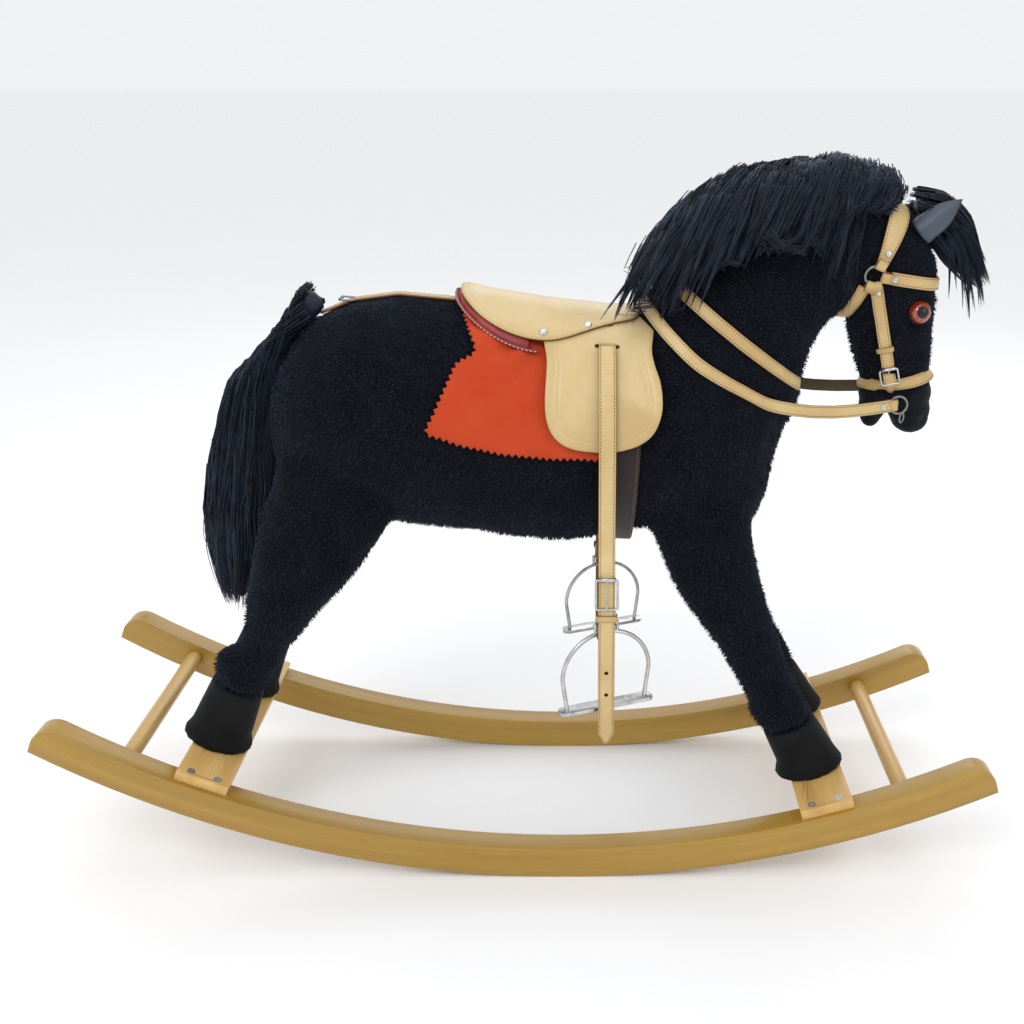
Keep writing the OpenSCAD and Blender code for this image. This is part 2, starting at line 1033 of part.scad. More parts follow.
// the leather in place, pointed at its tip and punched
module leather(eye_z, yaw) {
    difference() {
        union() {
            across_leather()
                leather_back(eye_z);
            across_leather()
                leather_tail(eye_z);
            across_leather()
                leather_return(eye_z);
            leather_loop(eye_z, yaw);
        }
        for (s = [-1, 1])
            translate([hang.x + s * leather_w / 2, -tail_low_y, eye_z - 140])
                rotate([0, s * 45, 0])
                    cube([13, 20, 13], center = true);
        translate([hang.x, -tail_low_y, eye_z - 52])
            rotate([90, 0, 0])
                cylinder(d = 4, h = 24, center = true);
    }
}
module right_leather() {
    color("burlywood")
        leather(right_eye_z, iron_yaw);
}
module left_leather() {
    color("burlywood")
        mirror_left()
            leather(left_eye_z, -iron_yaw);
}
// square buckle frame round the leather, with a roller on top
module buckle(eye_z) {
    iw = leather_w + 1;
    translate([hang.x, -tail_y - strap_t - 2.25, eye_z + 40])
        rotate([-3, 0, 0]) {
            for (s = [-1, 1])
                translate([s * (iw / 2 + 1.3), 1.2, 0])
                    cylinder(d = 2.4, h = 34, center = true);
            for (z = [-17, 17])
                translate([0, 0, z])
                    rotate([0, 90, 0])
                        cylinder(d = 3, h = iw + 5, center = true);
        }
}
module right_buckle() {
    color("silver")
        buckle(right_eye_z);
}
module left_buckle() {
    color("silver")
        mirror_left()
            buckle(left_eye_z);
}
// stirrup iron: eye bar at the origin, tread below
module iron(yaw) {
    wire = 4.6;
    bow_r = 51;
    bow_z = 39 - iron_top;
    rotate([0, 0, yaw]) {
        rotate([0, 90, 0])
            cylinder(d = 4.4, h = 26, center = true);
        for (s = [-1, 1]) {
            translate([s * 12.6, 0, -9.6])
                cylinder(d = 4, h = 9.6);
            translate([s * 12.6, 0, 0])
                sphere(d = 4.4);
            translate([s * 46, 0, 2 - iron_top])
                rotate([0, s * atan2(bow_r - 46, 37), 0])
                    cylinder(d = wire, h = norm([bow_r - 46, 37]));
            translate([s * bow_r, 0, bow_z])
                sphere(d = wire);
        }
        translate([0, 0, bow_z])
            rotate([90, 0, 0])
                rotate_extrude(angle = 180)
                    translate([bow_r, 0])
                        circle(d = wire);
        translate([0, 0, 0.4 - iron_top])
            linear_extrude(4, center = true)
                tread_outline();
    }
}
module tread_outline() {
    for (s = [-1, 1])
        translate([s * 48, 0])
            circle(d = 16);
    square([96, 16], center = true);
}
module right_iron() {
    color("silver")
        translate([hang.x, -eye_y, right_eye_z])
            iron(iron_yaw);
}
module left_iron() {
    color("silver")
        translate([hang.x, eye_y, left_eye_z])
            iron(iron_yaw);
}

// ---------- bridle ----------
// a layer that follows the neck and head, between two heights above them
module head_layer(a, b) {
    difference() {
        neck_head_form(b);
        neck_head_form(a);
    }
}
strap_a = gap;
strap_b = gap + strap_t;
// a straight band drawn along and up, from p to q, half width w
module band(p, q, w) {
    d = (q - p) / norm(q - p);
    n = [-d.y, d.x];
    polygon([p + w * n, q + w * n, q - w * n, p - w * n]);
}
temple = [352, 693];
bit_pt = [402, 553];
module crown_band(w) {
    band(temple + [5, 12], [388, 800], w);
}
module neck_band(w) {
    band([90, 712], [340, 533], w);
}
module crown_strap() {
    color("tan")
        rest()
            intersection() {
                head_layer(strap_a, strap_b);
                side_block()
                    crown_band(strap_w / 2 + 4);
            }
}
module browband() {
    color("tan")
        rest()
            difference() {
                intersection() {
                    head_layer(strap_a, strap_b);
                    side_block()
                        band(temple + [12, -1], [460, 678], strap_w / 2);
                }
                forelock_room();
            }
}
module forelock_room() {
    loft_form(FORELOCK, gap, 16);
    eye_socket();
}
module throatlatch() {
    color("tan")
        rest()
            intersection() {
                head_layer(strap_a, strap_b);
                side_block()
                    band(temple + [-8, -10], [320, 606], strap_w / 2);
            }
}
module cheekpieces() {
    color("tan")
        rest()
            intersection() {
                head_layer(strap_a, strap_b);
                side_block()
                    band(temple + [5, -13], [386, 587], strap_w / 2);
            }
}
module noseband() {
    color("tan")
        rest()
            intersection() {
                head_layer(strap_a, strap_b);
                side_block()
                    band([330, 562], [470, 591], strap_w / 2);
            }
}
module hoop(p, y, r, wire) {
    translate([p.x, -y, p.y])
        rotate([90, 0, 0])
            rotate_extrude()
                translate([r, 0])
                    circle(d = wire);
}
// temple rings, bit rings and the ring that joins each to its neighbour
module bridle_rings() {
    color("silver")
        rest()
            for (s = [0, 1])
                mirror([0, s, 0]) {
                    hoop(temple, 55.5, 11, 3);
                    hoop(bit_pt, 41.5, 11, 3);
                }
}
module neck_strap() {
    color("tan")
        rest()
            difference() {
                intersection() {
                    difference() {
                        union() {
                            neck_head_form(strap_b);
                            torso_form(strap_b);
                        }
                        neck_head_form(strap_a);
                        torso_form(strap_a);
                    }
                    side_block()
                        neck_band(strap_w / 2);
                }
                rein_clear();
            }
}
// the reins lie over the neck strap where the two cross at the withers
module rein_clear() {
    side_block()
        polygon([[60, 640], [128, 640], [128, 720], [60, 720]]);
}
// reins: they hug the shoulder and withers, then run free to the bit rings
module reins() {
    color("tan")
        rest()
            difference() {
                union() {
                    rein_on_neck();
                    rein_free();
                    mirror_left()
                        rein_free();
                }
                neck_head_form(strap_b + 0.3);
                torso_form(gap + strap_t + 0.3);
            }
}
module rein_on_neck() {
    intersection() {
        union() {
            neck_head_form(2 * strap_b + 0.3);
            torso_form(gap + 2 * strap_t + 0.3);
        }
        side_block()
            band([262, 549], [96, 670], strap_w / 2);
    }
}
REIN = [[254, 68, 555], [300, 62, 546], [349, 53, 548], [389, 44, 553]];
module rein_free() {
    for (i = [0:len(REIN) - 2])
        hull() {
            rein_slab(REIN[i]);
            rein_slab(REIN[i + 1]);
        }
}
module rein_slab(p) {
    translate([p.x, -p.y, p.z])
        cube([0.4, strap_t, strap_w], center = true);
}

// ---------- rivets ----------
module tack_rivets() {
    color("lightgray")
        rest() {
            intersection() {
                torso_layer(seat_b + 0.1, seat_b + 1.7);
                for (p = [[-68, 22], [10, 70], [56, 54]], s = [-1, 1])
                    translate([p.x, s * p.y, 540])
                        cylinder(d = 9, h = 200, $fn = rivet_seg);
            }
            intersection() {
                head_layer(strap_b + 0.1, strap_b + 1.6);
                for (p = [[362, 716], [373, 690], [359, 676]])
                    translate([p.x, 0, p.y])
                        rotate([90, 0, 0])
                            cylinder(d = 7, h = 200, center = true, $fn = rivet_seg);
            }
        }
}

right_rocker();
left_rocker();
front_stretcher();
rear_stretcher();
front_plank();
rear_plank();
plank_screws();
post_screws();
right_hind_post();
left_hind_post();
right_fore_post();
left_fore_post();
hip_crossbar();
shoulder_crossbar();
spine_board();
neck_post();
head_peg();
torso();
neck();
head();
right_hind_leg();
left_hind_leg();
right_fore_leg();
left_fore_leg();
right_hind_hoof();
left_hind_hoof();
right_fore_hoof();
left_fore_hoof();
right_ear();
left_ear();
right_eye();
left_eye();
mane();
forelock();
tail();
saddle_cloth();
saddle_panel();
saddle_seat();
right_flap();
left_flap();
stirrup_tabs();
girth();
crupper_strap();
crupper_buckle();
tack_rivets();
right_leather();
left_leather();
right_buckle();
left_buckle();
right_iron();
left_iron();
crown_strap();
browband();
throatlatch();
cheekpieces();
noseband();
bridle_rings();
neck_strap();
reins();
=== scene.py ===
import math

import bmesh
import bpy
import numpy as np
from mathutils import Matrix, Vector, geometry, noise
from mathutils.bvhtree import BVHTree


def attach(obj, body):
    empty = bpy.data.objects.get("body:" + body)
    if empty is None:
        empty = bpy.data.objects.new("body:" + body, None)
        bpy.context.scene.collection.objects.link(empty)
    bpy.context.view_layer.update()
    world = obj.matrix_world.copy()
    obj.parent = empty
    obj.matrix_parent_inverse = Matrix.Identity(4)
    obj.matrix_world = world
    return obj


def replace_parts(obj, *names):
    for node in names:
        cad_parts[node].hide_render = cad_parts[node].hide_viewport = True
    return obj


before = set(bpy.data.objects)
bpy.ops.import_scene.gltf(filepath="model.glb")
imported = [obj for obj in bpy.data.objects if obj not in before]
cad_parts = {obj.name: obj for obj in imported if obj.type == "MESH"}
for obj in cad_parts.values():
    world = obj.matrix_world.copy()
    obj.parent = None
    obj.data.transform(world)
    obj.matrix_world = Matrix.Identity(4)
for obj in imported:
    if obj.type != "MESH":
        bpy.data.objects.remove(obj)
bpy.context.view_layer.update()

# The looks of the plush rocking horse. Forms that the CAD gives level, about the middle of the bows,
# are written here level too, in millimetres, and leaned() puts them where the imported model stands.
MM = 0.001
LEGS = ("right_hind", "left_hind", "right_fore", "left_fore")
RNG = np.random.default_rng(7)

BOW_RADIUS = 1120
BOW_HALF_CHORD = 543.5
TILT = math.radians(2.8)
REST_SHIFT = BOW_RADIUS * math.cos(math.asin(BOW_HALF_CHORD / BOW_RADIUS)) * math.sin(TILT)

STRAP_T = 2.6
STITCH_IN = 2.0
BRIDLE_W = 13.6
NECK_STRAP_W = 13.8
LEATHER_W = 18
SLOT_X = 77
SLOT_TURN = math.radians(36)
SEAT_LOW = 12.9
SEAT_T = 3.4
EYE_Z = {"right": 316, "left": 284}
IRON_YAW = math.radians(21)
IRON_DROP = 99.5
# the spare end of a stirrup leather: where it starts above the eye, its length and its outward lean;
# and the radius at which the leather turns round the eye bar
BUCKLE_UP = 46
SPARE_LONG = 145.5
SPARE_OUT = 8
EYE_R = 5.2
# millimetres for each degree round the torso, in sheets laid flat
ROUND = 2.1
# how far the skin lies inside its CAD form, how far the chest swells, and the pile's length
SKIN_IN = 1.6
CHEST_OUT = 16.0
PILE = 4.6

# torso stations: x, centre height, half width, half height
TORSO = np.array([
    [-289, 498, 30, 38], [-281, 498, 54, 66], [-262, 501, 76, 90], [-235, 506, 95, 111],
    [-200, 511, 107, 122], [-150, 512, 113, 130], [-84, 508, 114, 131], [-30, 503, 113, 130],
    [25, 498, 112, 130], [79, 499, 112, 125], [131, 509, 114, 118], [180, 513, 112, 124],
    [214, 507, 103, 119], [240, 496, 88, 106], [258, 486, 64, 82], [269, 481, 36, 46],
], float)
# hair forms: x, z, half depth, half width, lean in degrees
TAIL = np.array([
    [-226, 628, 12, 13, 70], [-248, 625, 20, 20, 86], [-279, 599, 31, 27, 128],
    [-301, 556, 34, 30, 152], [-313, 500, 35, 31, 165], [-321, 440, 40, 32, 174],
    [-327, 385, 42, 32, 178], [-330, 330, 40, 30, 184], [-338, 288, 24, 20, 188],
    [-344, 267, 8, 8, 188],
], float)
MANE = np.array([
    [112, 655, 24, 30, 20], [128, 682, 32, 44, 30], [152, 707, 38, 54, 44],
    [186, 738, 42, 58, 50], [226, 757, 44, 58, 66], [268, 770, 38, 54, 80],
    [312, 776, 40, 48, 88], [350, 772, 36, 40, 100], [372, 762, 24, 30, 118],
], float)
FORELOCK = np.array([
    [392, 762, 12, 20, 95], [416, 757, 16, 24, 112], [438, 738, 17, 25, 135],
    [454, 714, 14, 22, 142], [470, 694, 9, 15, 140], [486, 678, 4, 6, 140],
], float)
# flap outline, along and up
FLAP = [
    (8, 640), (10, 618), (15, 596), (15, 562), (17, 543), (23, 528), (34, 517), (50, 511.5),
    (74, 510), (96, 513), (114, 520), (127, 531), (134, 546), (136, 562), (133, 582),
    (124, 606), (116, 636),
]
# seat outline, along and across, one half
SEAT = [
    (-82, 0), (-81, 16), (-77, 33), (-68, 48), (-55, 60), (-38, 69), (-18, 74.5), (2, 76),
    (20, 74), (38, 68), (56, 59), (80, 46), (106, 36), (112, 12),
]
# the free part of a rein: x, half way across, up, from the neck to the bit ring
REIN = [(254, 69, 555), (279, 66, 548.5), (300, 63, 546), (325, 58, 546), (349, 53, 548),
        (372, 47.5, 551), (390, 44, 554)]
# cloth hem on one side, along and up, from the top rear round to the front
CLOTH = [
    (-76, 632), (-60, 599), (-77, 589), (-106, 521), (-71, 509), (-29, 501), (33, 498), (78, 500),
    (108, 520), (104, 600), (102, 622),
]


# ---------- placing ----------
def leaned(x, y, z):
    """Where a level point, in millimetres, stands after the horse's forward lean, in metres."""
    c, s = math.cos(TILT), math.sin(TILT)
    up = z - BOW_RADIUS
    return Vector((REST_SHIFT + x * c + up * s, y, BOW_RADIUS - x * s + up * c)) * MM


def turned(x, y, z):
    """A level direction after the lean."""
    c, s = math.cos(TILT), math.sin(TILT)
    return Vector((x * c + z * s, y, z * c - x * s)).normalized()


def station(table, x):
    """Every column of a station table at x, by its first column."""
    return [float(np.interp(x, table[:, 0], table[:, i])) for i in range(1, table.shape[1])]


def on_torso(x, angle, rise):
    """A point and its normal, rise above the torso at x, angle round from the top to the right."""
    z, w, h = station(TORSO, x)
    point = leaned(x, -(w + rise) * math.sin(angle), z + (h + rise) * math.cos(angle))
    return point, turned(0, -math.sin(angle) * h, math.cos(angle) * w)


def angle_at_height(x, z, rise):
    """The angle round the torso at which the layer at rise has the height z."""
    zc, _, h = station(TORSO, x)
    return math.acos(max(-1, min(1, (z - zc) / (h + rise))))


def angle_at_side(x, y, rise):
    """The angle round the torso at which the layer at rise is y off the middle, right side positive."""
    _, w, _ = station(TORSO, x)
    return math.asin(max(-1, min(1, y / (w + rise))))


# ---------- meshes ----------
def linked(name, data):
    """A new object in the scene, with this data."""
    obj = bpy.data.objects.new(name, data)
    bpy.context.scene.collection.objects.link(obj)
    return obj


def new_object(name, verts, faces, body, materials, face_material=None, smooth=True):
    """A mesh object that rides on a body."""
    mesh = bpy.data.meshes.new(name)
    mesh.from_pydata([tuple(v) for v in verts], [], faces)
    mesh.validate()
    obj = linked(name, mesh)
    for m in materials:
        mesh.materials.append(m)
    if face_material is not None and len(face_material) == len(mesh.polygons):
        mesh.polygons.foreach_set("material_index", face_material)
    mesh.polygons.foreach_set("use_smooth", [smooth] * len(mesh.polygons))
    mesh.update()
    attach(obj, body)
    return obj


def apply_modifiers(obj):
    """The object with its modifiers worked into its mesh."""
    depsgraph = bpy.context.evaluated_depsgraph_get()
    depsgraph.update()
    made = bpy.data.meshes.new_from_object(obj.evaluated_get(depsgraph))
    old = obj.data
    obj.modifiers.clear()
    obj.data = made
    bpy.data.meshes.remove(old)
    return obj


def copy_of(name, nodes):
    """One new object with the welded meshes of these CAD nodes, not yet riding on anything."""
    joined = bmesh.new()
    for n in nodes:
        joined.from_mesh(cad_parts[n].data)
    bmesh.ops.remove_doubles(joined, verts=joined.verts, dist=0.00002)
    mesh = bpy.data.meshes.new(name)
    joined.to_mesh(mesh)
    joined.free()
    mesh.materials.clear()
    return linked(name, mesh)


def keep_largest(obj):
    """Removes every loose island but the largest."""
    bm = bmesh.new()
    bm.from_mesh(obj.data)
    bm.verts.ensure_lookup_table()
    seen, islands = set(), []
    for start in bm.verts:
        if start.index in seen:
            continue
        island, todo = [], [start]
        seen.add(start.index)
        while todo:
            v = todo.pop()
            island.append(v)
            for e in v.link_edges:
                other = e.other_vert(v)
                if other.index not in seen:
                    seen.add(other.index)
                    todo.append(other)
        islands.append(island)
    islands.sort(key=len)
    for island in islands[:-1]:
        bmesh.ops.delete(bm, geom=island, context="VERTS")
    bm.to_mesh(obj.data)
    bm.free()


def remeshed(obj, voxel, smoothing):
    """The object as one even skin, smoothed."""
    remesh = obj.modifiers.new("remesh", "REMESH")
    remesh.mode = "VOXEL"
    remesh.voxel_size = voxel
    apply_modifiers(obj)
    keep_largest(obj)
    smooth = obj.modifiers.new("smooth", "SMOOTH")
    smooth.factor = 0.5
    smooth.iterations = smoothing
    return apply_modifiers(obj)


def points_of(obj):
    """An object's vertices as an array."""
    co = np.empty(len(obj.data.vertices) * 3)
    obj.data.vertices.foreach_get("co", co)
    return co.reshape(-1, 3)


def put_points(obj, co):
    """Puts an array of vertices back into an object."""
    obj.data.vertices.foreach_set("co", co.ravel())
    obj.data.update()


def normals_of(obj):
    """An object's vertex normals as an array."""
    no = np.empty(len(obj.data.vertices) * 3)
    obj.data.vertices.foreach_get("normal", no)
    return no.reshape(-1, 3)


def finished(obj, material, body):
    """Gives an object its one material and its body."""
    obj.data.materials.clear()
    obj.data.materials.append(material)
    obj.data.polygons.foreach_set("use_smooth", [True] * len(obj.data.polygons))
    obj.data.update()
    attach(obj, body)
    return obj


def inflated(obj, pressure, cap, frames=16):
    """Cloth pressure swells the form, no point by more than cap. The result is applied."""
    before = points_of(obj)
    cloth = obj.modifiers.new("cloth", "CLOTH")
    cloth.settings.use_pressure = True
    cloth.settings.uniform_pressure_force = pressure
    cloth.settings.effector_weights.gravity = 0
    cloth.settings.quality = 4
    scene = bpy.context.scene
    for f in range(1, frames + 1):
        scene.frame_set(f)
    apply_modifiers(obj)
    scene.frame_set(1)
    move = points_of(obj) - before
    size = np.linalg.norm(move, axis=1, keepdims=True)
    put_points(obj, before + move * np.minimum(1, cap / np.maximum(size, 1e-9)))
    return obj


def softened(node, width, material, body="base", smooth=True):
    """A CAD node with its sharp edges eased, to stand for the node."""
    obj = copy_of(node + "_eased", [node])
    bevel = obj.modifiers.new("bevel", "BEVEL")
    bevel.width = width
    bevel.segments = 3
    bevel.limit_method = "ANGLE"
    bevel.angle_limit = math.radians(40)
    apply_modifiers(obj)
    finished(obj, material, body)
    if smooth:
        obj.data.set_sharp_from_angle(angle=math.radians(35))
    else:
        obj.data.polygons.foreach_set("use_smooth", [False] * len(obj.data.polygons))
    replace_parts(obj, node)
    return obj


def painted(node, material):
    """A CAD node that stays gets its material."""
    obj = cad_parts[node]
    obj.data.materials.clear()
    obj.data.materials.append(material)
    obj.data.polygons.foreach_set("use_smooth", [True] * len(obj.data.polygons))
    obj.data.set_sharp_from_angle(angle=math.radians(35))
    return obj


# ---------- strips, tubes and plates ----------
def strip_frames(points, normals):
    """Tangent, normal and side at each point of a path, square to each other."""
    p = np.array(points, float)
    t = np.gradient(p, axis=0)
    t /= np.linalg.norm(t, axis=1, keepdims=True)
    n = np.array(normals, float)
    n -= (n * t).sum(1, keepdims=True) * t
    n /= np.linalg.norm(n, axis=1, keepdims=True)
    return p, t, n, np.cross(t, n)


def rounded_profile(width, thick):
    """A strap's section: flat flesh side, slightly crowned grain side, eased edges. Across and up."""
    w, t = width / 2, thick
    right = [(w - 0.5, 0), (w, 0.5), (w, t - 0.8), (w - 0.35, t - 0.3), (w - 1.1, t - 0.05),
             (w * 0.4, t + 0.12)]
    return right + [(-x, y) for x, y in reversed(right)]


PROFILE_EDGE = {0, 1, 2, 8, 9, 10, 11}


def strap(name, points, normals, widths, thick, body, materials):
    """A leather strip along a path, in metres, its under side on the path. materials: grain, edge."""
    p, _, n, side = strip_frames(points, normals)
    count = len(p)
    widths = np.broadcast_to(np.array(widths, float), (count,))
    verts, faces, paint = [], [], []
    size = len(rounded_profile(10, thick))
    for i in range(count):
        for x, y in rounded_profile(widths[i], thick):
            verts.append(p[i] + side[i] * x * MM + n[i] * y * MM)
    for i in range(count - 1):
        a, b = i * size, (i + 1) * size
        for k in range(size):
            m = (k + 1) % size
            faces.append((a + k, b + k, b + m, a + m))
            paint.append(1 if k in PROFILE_EDGE else 0)
    faces.append(tuple(range(size)))
    faces.append(tuple(reversed(range((count - 1) * size, count * size))))
    paint += [1, 1]
    return new_object(name, verts, faces, body, materials, paint)


def resample(points, normals, step):
    """The path again with even steps, and its normals."""
    p, n = np.array(points, float), np.array(normals, float)
    along = np.concatenate([[0], np.cumsum(np.linalg.norm(np.diff(p, axis=0), axis=1))])
    count = max(2, int(round(along[-1] / step)) + 1)
    at = np.linspace(0, along[-1], count)
    return (np.column_stack([np.interp(at, along, p[:, i]) for i in range(3)]),
            np.column_stack([np.interp(at, along, n[:, i]) for i in range(3)]))


def stitch_verts(centre, t, n, side, long, thick):
    """One short thread: a four-sided spindle lying along t."""
    ring = [(math.cos(a), math.sin(a)) for a in (0, math.pi / 2, math.pi, 3 * math.pi / 2)]
    out = [centre - t * long / 2 - n * thick * 0.8]
    for s in (-0.32, 0.32):
        out += [centre + t * long * s + side * thick * c + n * thick * u for c, u in ring]
    return out + [centre + t * long / 2 - n * thick * 0.8]


def stitch_faces(base):
    """The faces of one thread whose first vertex is base."""
    faces = []
    for k in range(4):
        m = (k + 1) % 4
        faces.append((base, base + 1 + m, base + 1 + k))
        faces.append((base + 1 + k, base + 1 + m, base + 5 + m, base + 5 + k))
        faces.append((base + 9, base + 5 + k, base + 5 + m))
    return faces


def stitching(name, lines, body, material, pitch=3.4, long=2.5, thick=0.38):
    """Threads along several lines. Each line is points and normals in metres."""
    verts, faces = [], []
    for points, normals in lines:
        even, up = resample(points, normals, pitch * MM)
        p, t, n, side = strip_frames(even, up)
        for i in range(len(p) - 1):
            faces += stitch_faces(len(verts))
            verts += stitch_verts((p[i] + p[i + 1]) / 2, t[i], n[i], side[i], long * MM, thick * MM)
    return new_object(name, verts, faces, body, [material])


def beside(points, normals, across, up):
    """A line beside a path, across and up from it in millimetres."""
    p, _, n, side = strip_frames(points, normals)
    across = np.broadcast_to(np.array(across, float), (len(p),))[:, None]
    return p + side * across * MM + n * up * MM, n


def tube(name, points, radius, body, material, closed=False, sides=12):
    """A round wire along a path in metres."""
    p = np.array(points, float)
    count = len(p)
    if closed:
        t = np.roll(p, -1, axis=0) - np.roll(p, 1, axis=0)
    else:
        t = np.gradient(p, axis=0)
    t /= np.linalg.norm(t, axis=1, keepdims=True)
    up = np.cross(t[0], (0.3, 0.9, 0.31))
    verts, faces = [], []
    for i in range(count):
        up = up - np.dot(up, t[i]) * t[i]
        up /= np.linalg.norm(up)
        other = np.cross(t[i], up)
        for k in range(sides):
            a = 2 * math.pi * k / sides
            verts.append(p[i] + (up * math.cos(a) + other * math.sin(a)) * radius * MM)
    for i in range(count if closed else count - 1):
        a, b = i * sides, (i + 1) % count * sides
        faces += [(a + k, a + (k + 1) % sides, b + (k + 1) % sides, b + k) for k in range(sides)]
    if not closed:
        faces.append(tuple(reversed(range(sides))))
        faces.append(tuple(range((count - 1) * sides, count * sides)))
    return new_object(name, verts, faces, body, [material])


def rounded_loop(centre, right, up, w, h, r, steps=6):
    """A rectangle with round corners in the plane of two directions, in metres."""
    out = []
    for k, (sx, sy) in enumerate(((1, 1), (-1, 1), (-1, -1), (1, -1))):
        for i in range(steps + 1):
            a = math.pi / 2 * (k + i / steps)
            x = sx * (w / 2 - r) + r * math.cos(a)
            y = sy * (h / 2 - r) + r * math.sin(a)
            out.append(Vector(centre) + Vector(right) * x * MM + Vector(up) * y * MM)
    return out


def catmull(a, b, c, d, t):
    """The Catmull-Rom curve between b and c, at t."""
    return 0.5 * (2 * b + (c - a) * t + (2 * a - 5 * b + 4 * c - d) * t ** 2
                  + (3 * b - a - 3 * c + d) * t ** 3)


def smooth_outline(points, step, closed=True):
    """A Catmull-Rom curve through the points, cut at even steps."""
    p = np.array(points, float)
    n = len(p)
    fine = []
    for i in range(n if closed else n - 1):
        if closed:
            a, b, c, d = p[i - 1], p[i], p[(i + 1) % n], p[(i + 2) % n]
        else:
            a, b, c, d = p[max(i - 1, 0)], p[i], p[i + 1], p[min(i + 2, n - 1)]
        fine += [catmull(a, b, c, d, t) for t in np.linspace(0, 1, 12, endpoint=False)]
    fine.append(fine[0] if closed else p[-1])
    fine = np.array(fine)
    along = np.concatenate([[0], np.cumsum(np.linalg.norm(np.diff(fine, axis=0), axis=1))])
    count = int(round(along[-1] / step))
    at = np.linspace(0, along[-1], count + 1)
    out = np.column_stack([np.interp(at, along, fine[:, i]) for i in range(p.shape[1])])
    return out[:-1] if closed else out


def edge_distance(points, outline):
    """How far each point is from a closed outline."""
    a, b = outline, np.roll(outline, -1, axis=0)
    best = np.full(len(points), 1e9)
    for s, e in zip(a, b):
        d = e - s
        t = np.clip(((points - s) @ d) / max(d @ d, 1e-12), 0, 1)
        best = np.minimum(best, np.linalg.norm(points - (s + t[:, None] * d), axis=1))
    return best


def inside(points, outline):
    """Which points a closed outline holds."""
    hit = np.zeros(len(points), bool)
    x, y = points[:, 0], points[:, 1]
    for (x0, y0), (x1, y1) in zip(outline, np.roll(outline, -1, axis=0)):
        cross = (y0 > y) != (y1 > y)
        at = x0 + (y - y0) * (x1 - x0) / (y1 - y0 if y1 != y0 else 1e-12)
        hit ^= cross & (x < at)
    return hit


def flat_mesh(outline, spacing, rings=()):
    """A flat outline filled with a fine triangle mesh: points, faces, and each point's edge distance."""
    outline = np.array(outline, float)
    lo, hi = outline.min(0), outline.max(0)
    grid = []
    for j, y in enumerate(np.arange(lo[1], hi[1], spacing * 0.87)):
        for x in np.arange(lo[0] + (j % 2) * spacing / 2, hi[0], spacing):
            grid.append((x, y))
    grid = np.array(grid)
    grid = grid[inside(grid, outline)]
    depth = edge_distance(grid, outline)
    keep = depth > spacing * 0.7
    for r in rings:
        keep &= np.abs(depth - r) > spacing * 0.6
    parts = [outline, grid[keep]]
    back, ahead = np.roll(outline, 1, axis=0), np.roll(outline, -1, axis=0)
    t = ahead - back
    t /= np.linalg.norm(t, axis=1, keepdims=True)
    area = (outline[:, 0] * ahead[:, 1] - ahead[:, 0] * outline[:, 1]).sum()
    inward = np.column_stack([-t[:, 1], t[:, 0]]) * (1 if area > 0 else -1)
    for r in rings:
        ring = outline + inward * r
        ring = ring[inside(ring, outline)]
        parts.append(ring[edge_distance(ring, outline) > r - 0.12])
    points = np.vstack(parts)
    n = len(outline)
    loop = [(i, (i + 1) % n) for i in range(n)]
    made = geometry.delaunay_2d_cdt([Vector(p) for p in points], loop, [list(range(n))], 1, 1e-5)
    points = np.array([tuple(v) for v in made[0]])
    return points, [tuple(f) for f in made[2]], edge_distance(points, outline)


def plate(name, outline, spacing, place, thick, body, materials, rings=(), relief=None):
    """A sheet of leather or felt with a top, an under side and a cut edge. materials: top, edge, under."""
    points, faces, depth = flat_mesh(outline, spacing, rings)
    n = len(points)
    top, low = [], []
    for (u, v), d in zip(points, depth):
        p, up = place(u, v)
        rise = thick if relief is None else thick + relief(u, v, d)
        top.append(p + up * rise * MM)
        low.append(p)
    edges = {}
    for f in faces:
        for i in range(3):
            edges[f[i], f[(i + 1) % 3]] = True
    rim = [e for e in edges if (e[1], e[0]) not in edges]
    a, b, c = (points[i] for i in faces[0])
    flip = np.cross(b - a, c - a) < 0
    up_faces = [f[::-1] if flip else f for f in faces]
    centre = np.array(top)[list(up_faces[0])]
    face_up = np.cross(centre[1] - centre[0], centre[2] - centre[0])
    if Vector(face_up).dot(place(*points[up_faces[0][0]])[1]) < 0:
        up_faces = [f[::-1] for f in up_faces]
        flip = not flip
    all_faces = list(up_faces) + [tuple(i + n for i in f[::-1]) for f in up_faces]
    paint = [0] * len(up_faces) + [2] * len(up_faces) + [1] * len(rim)
    for s, e in rim:
        if flip:
            s, e = e, s
        all_faces.append((s, s + n, e + n, e))
    return new_object(name, top + low, all_faces, body, materials, paint)


# ---------- materials ----------
def material(name, color, rough, metallic=0.0):
    """A new material, its node tree and its shader."""
    mat = bpy.data.materials.new(name)
    mat.use_nodes = True
    shader = mat.node_tree.nodes["Principled BSDF"]
    shader.inputs["Base Color"].default_value = (*color, 1)
    shader.inputs["Roughness"].default_value = rough
    shader.inputs["Metallic"].default_value = metallic
    return mat, mat.node_tree, shader


def object_coords(tree, stretch=(1, 1, 1), turn=(0, 0, 0)):
    """Object coordinates, stretched and turned."""
    coords = tree.nodes.new("ShaderNodeTexCoord")
    mapping = tree.nodes.new("ShaderNodeMapping")
    mapping.inputs["Scale"].default_value = stretch
    mapping.inputs["Rotation"].default_value = turn
    tree.links.new(coords.outputs["Object"], mapping.inputs["Vector"])
    return mapping.outputs["Vector"]


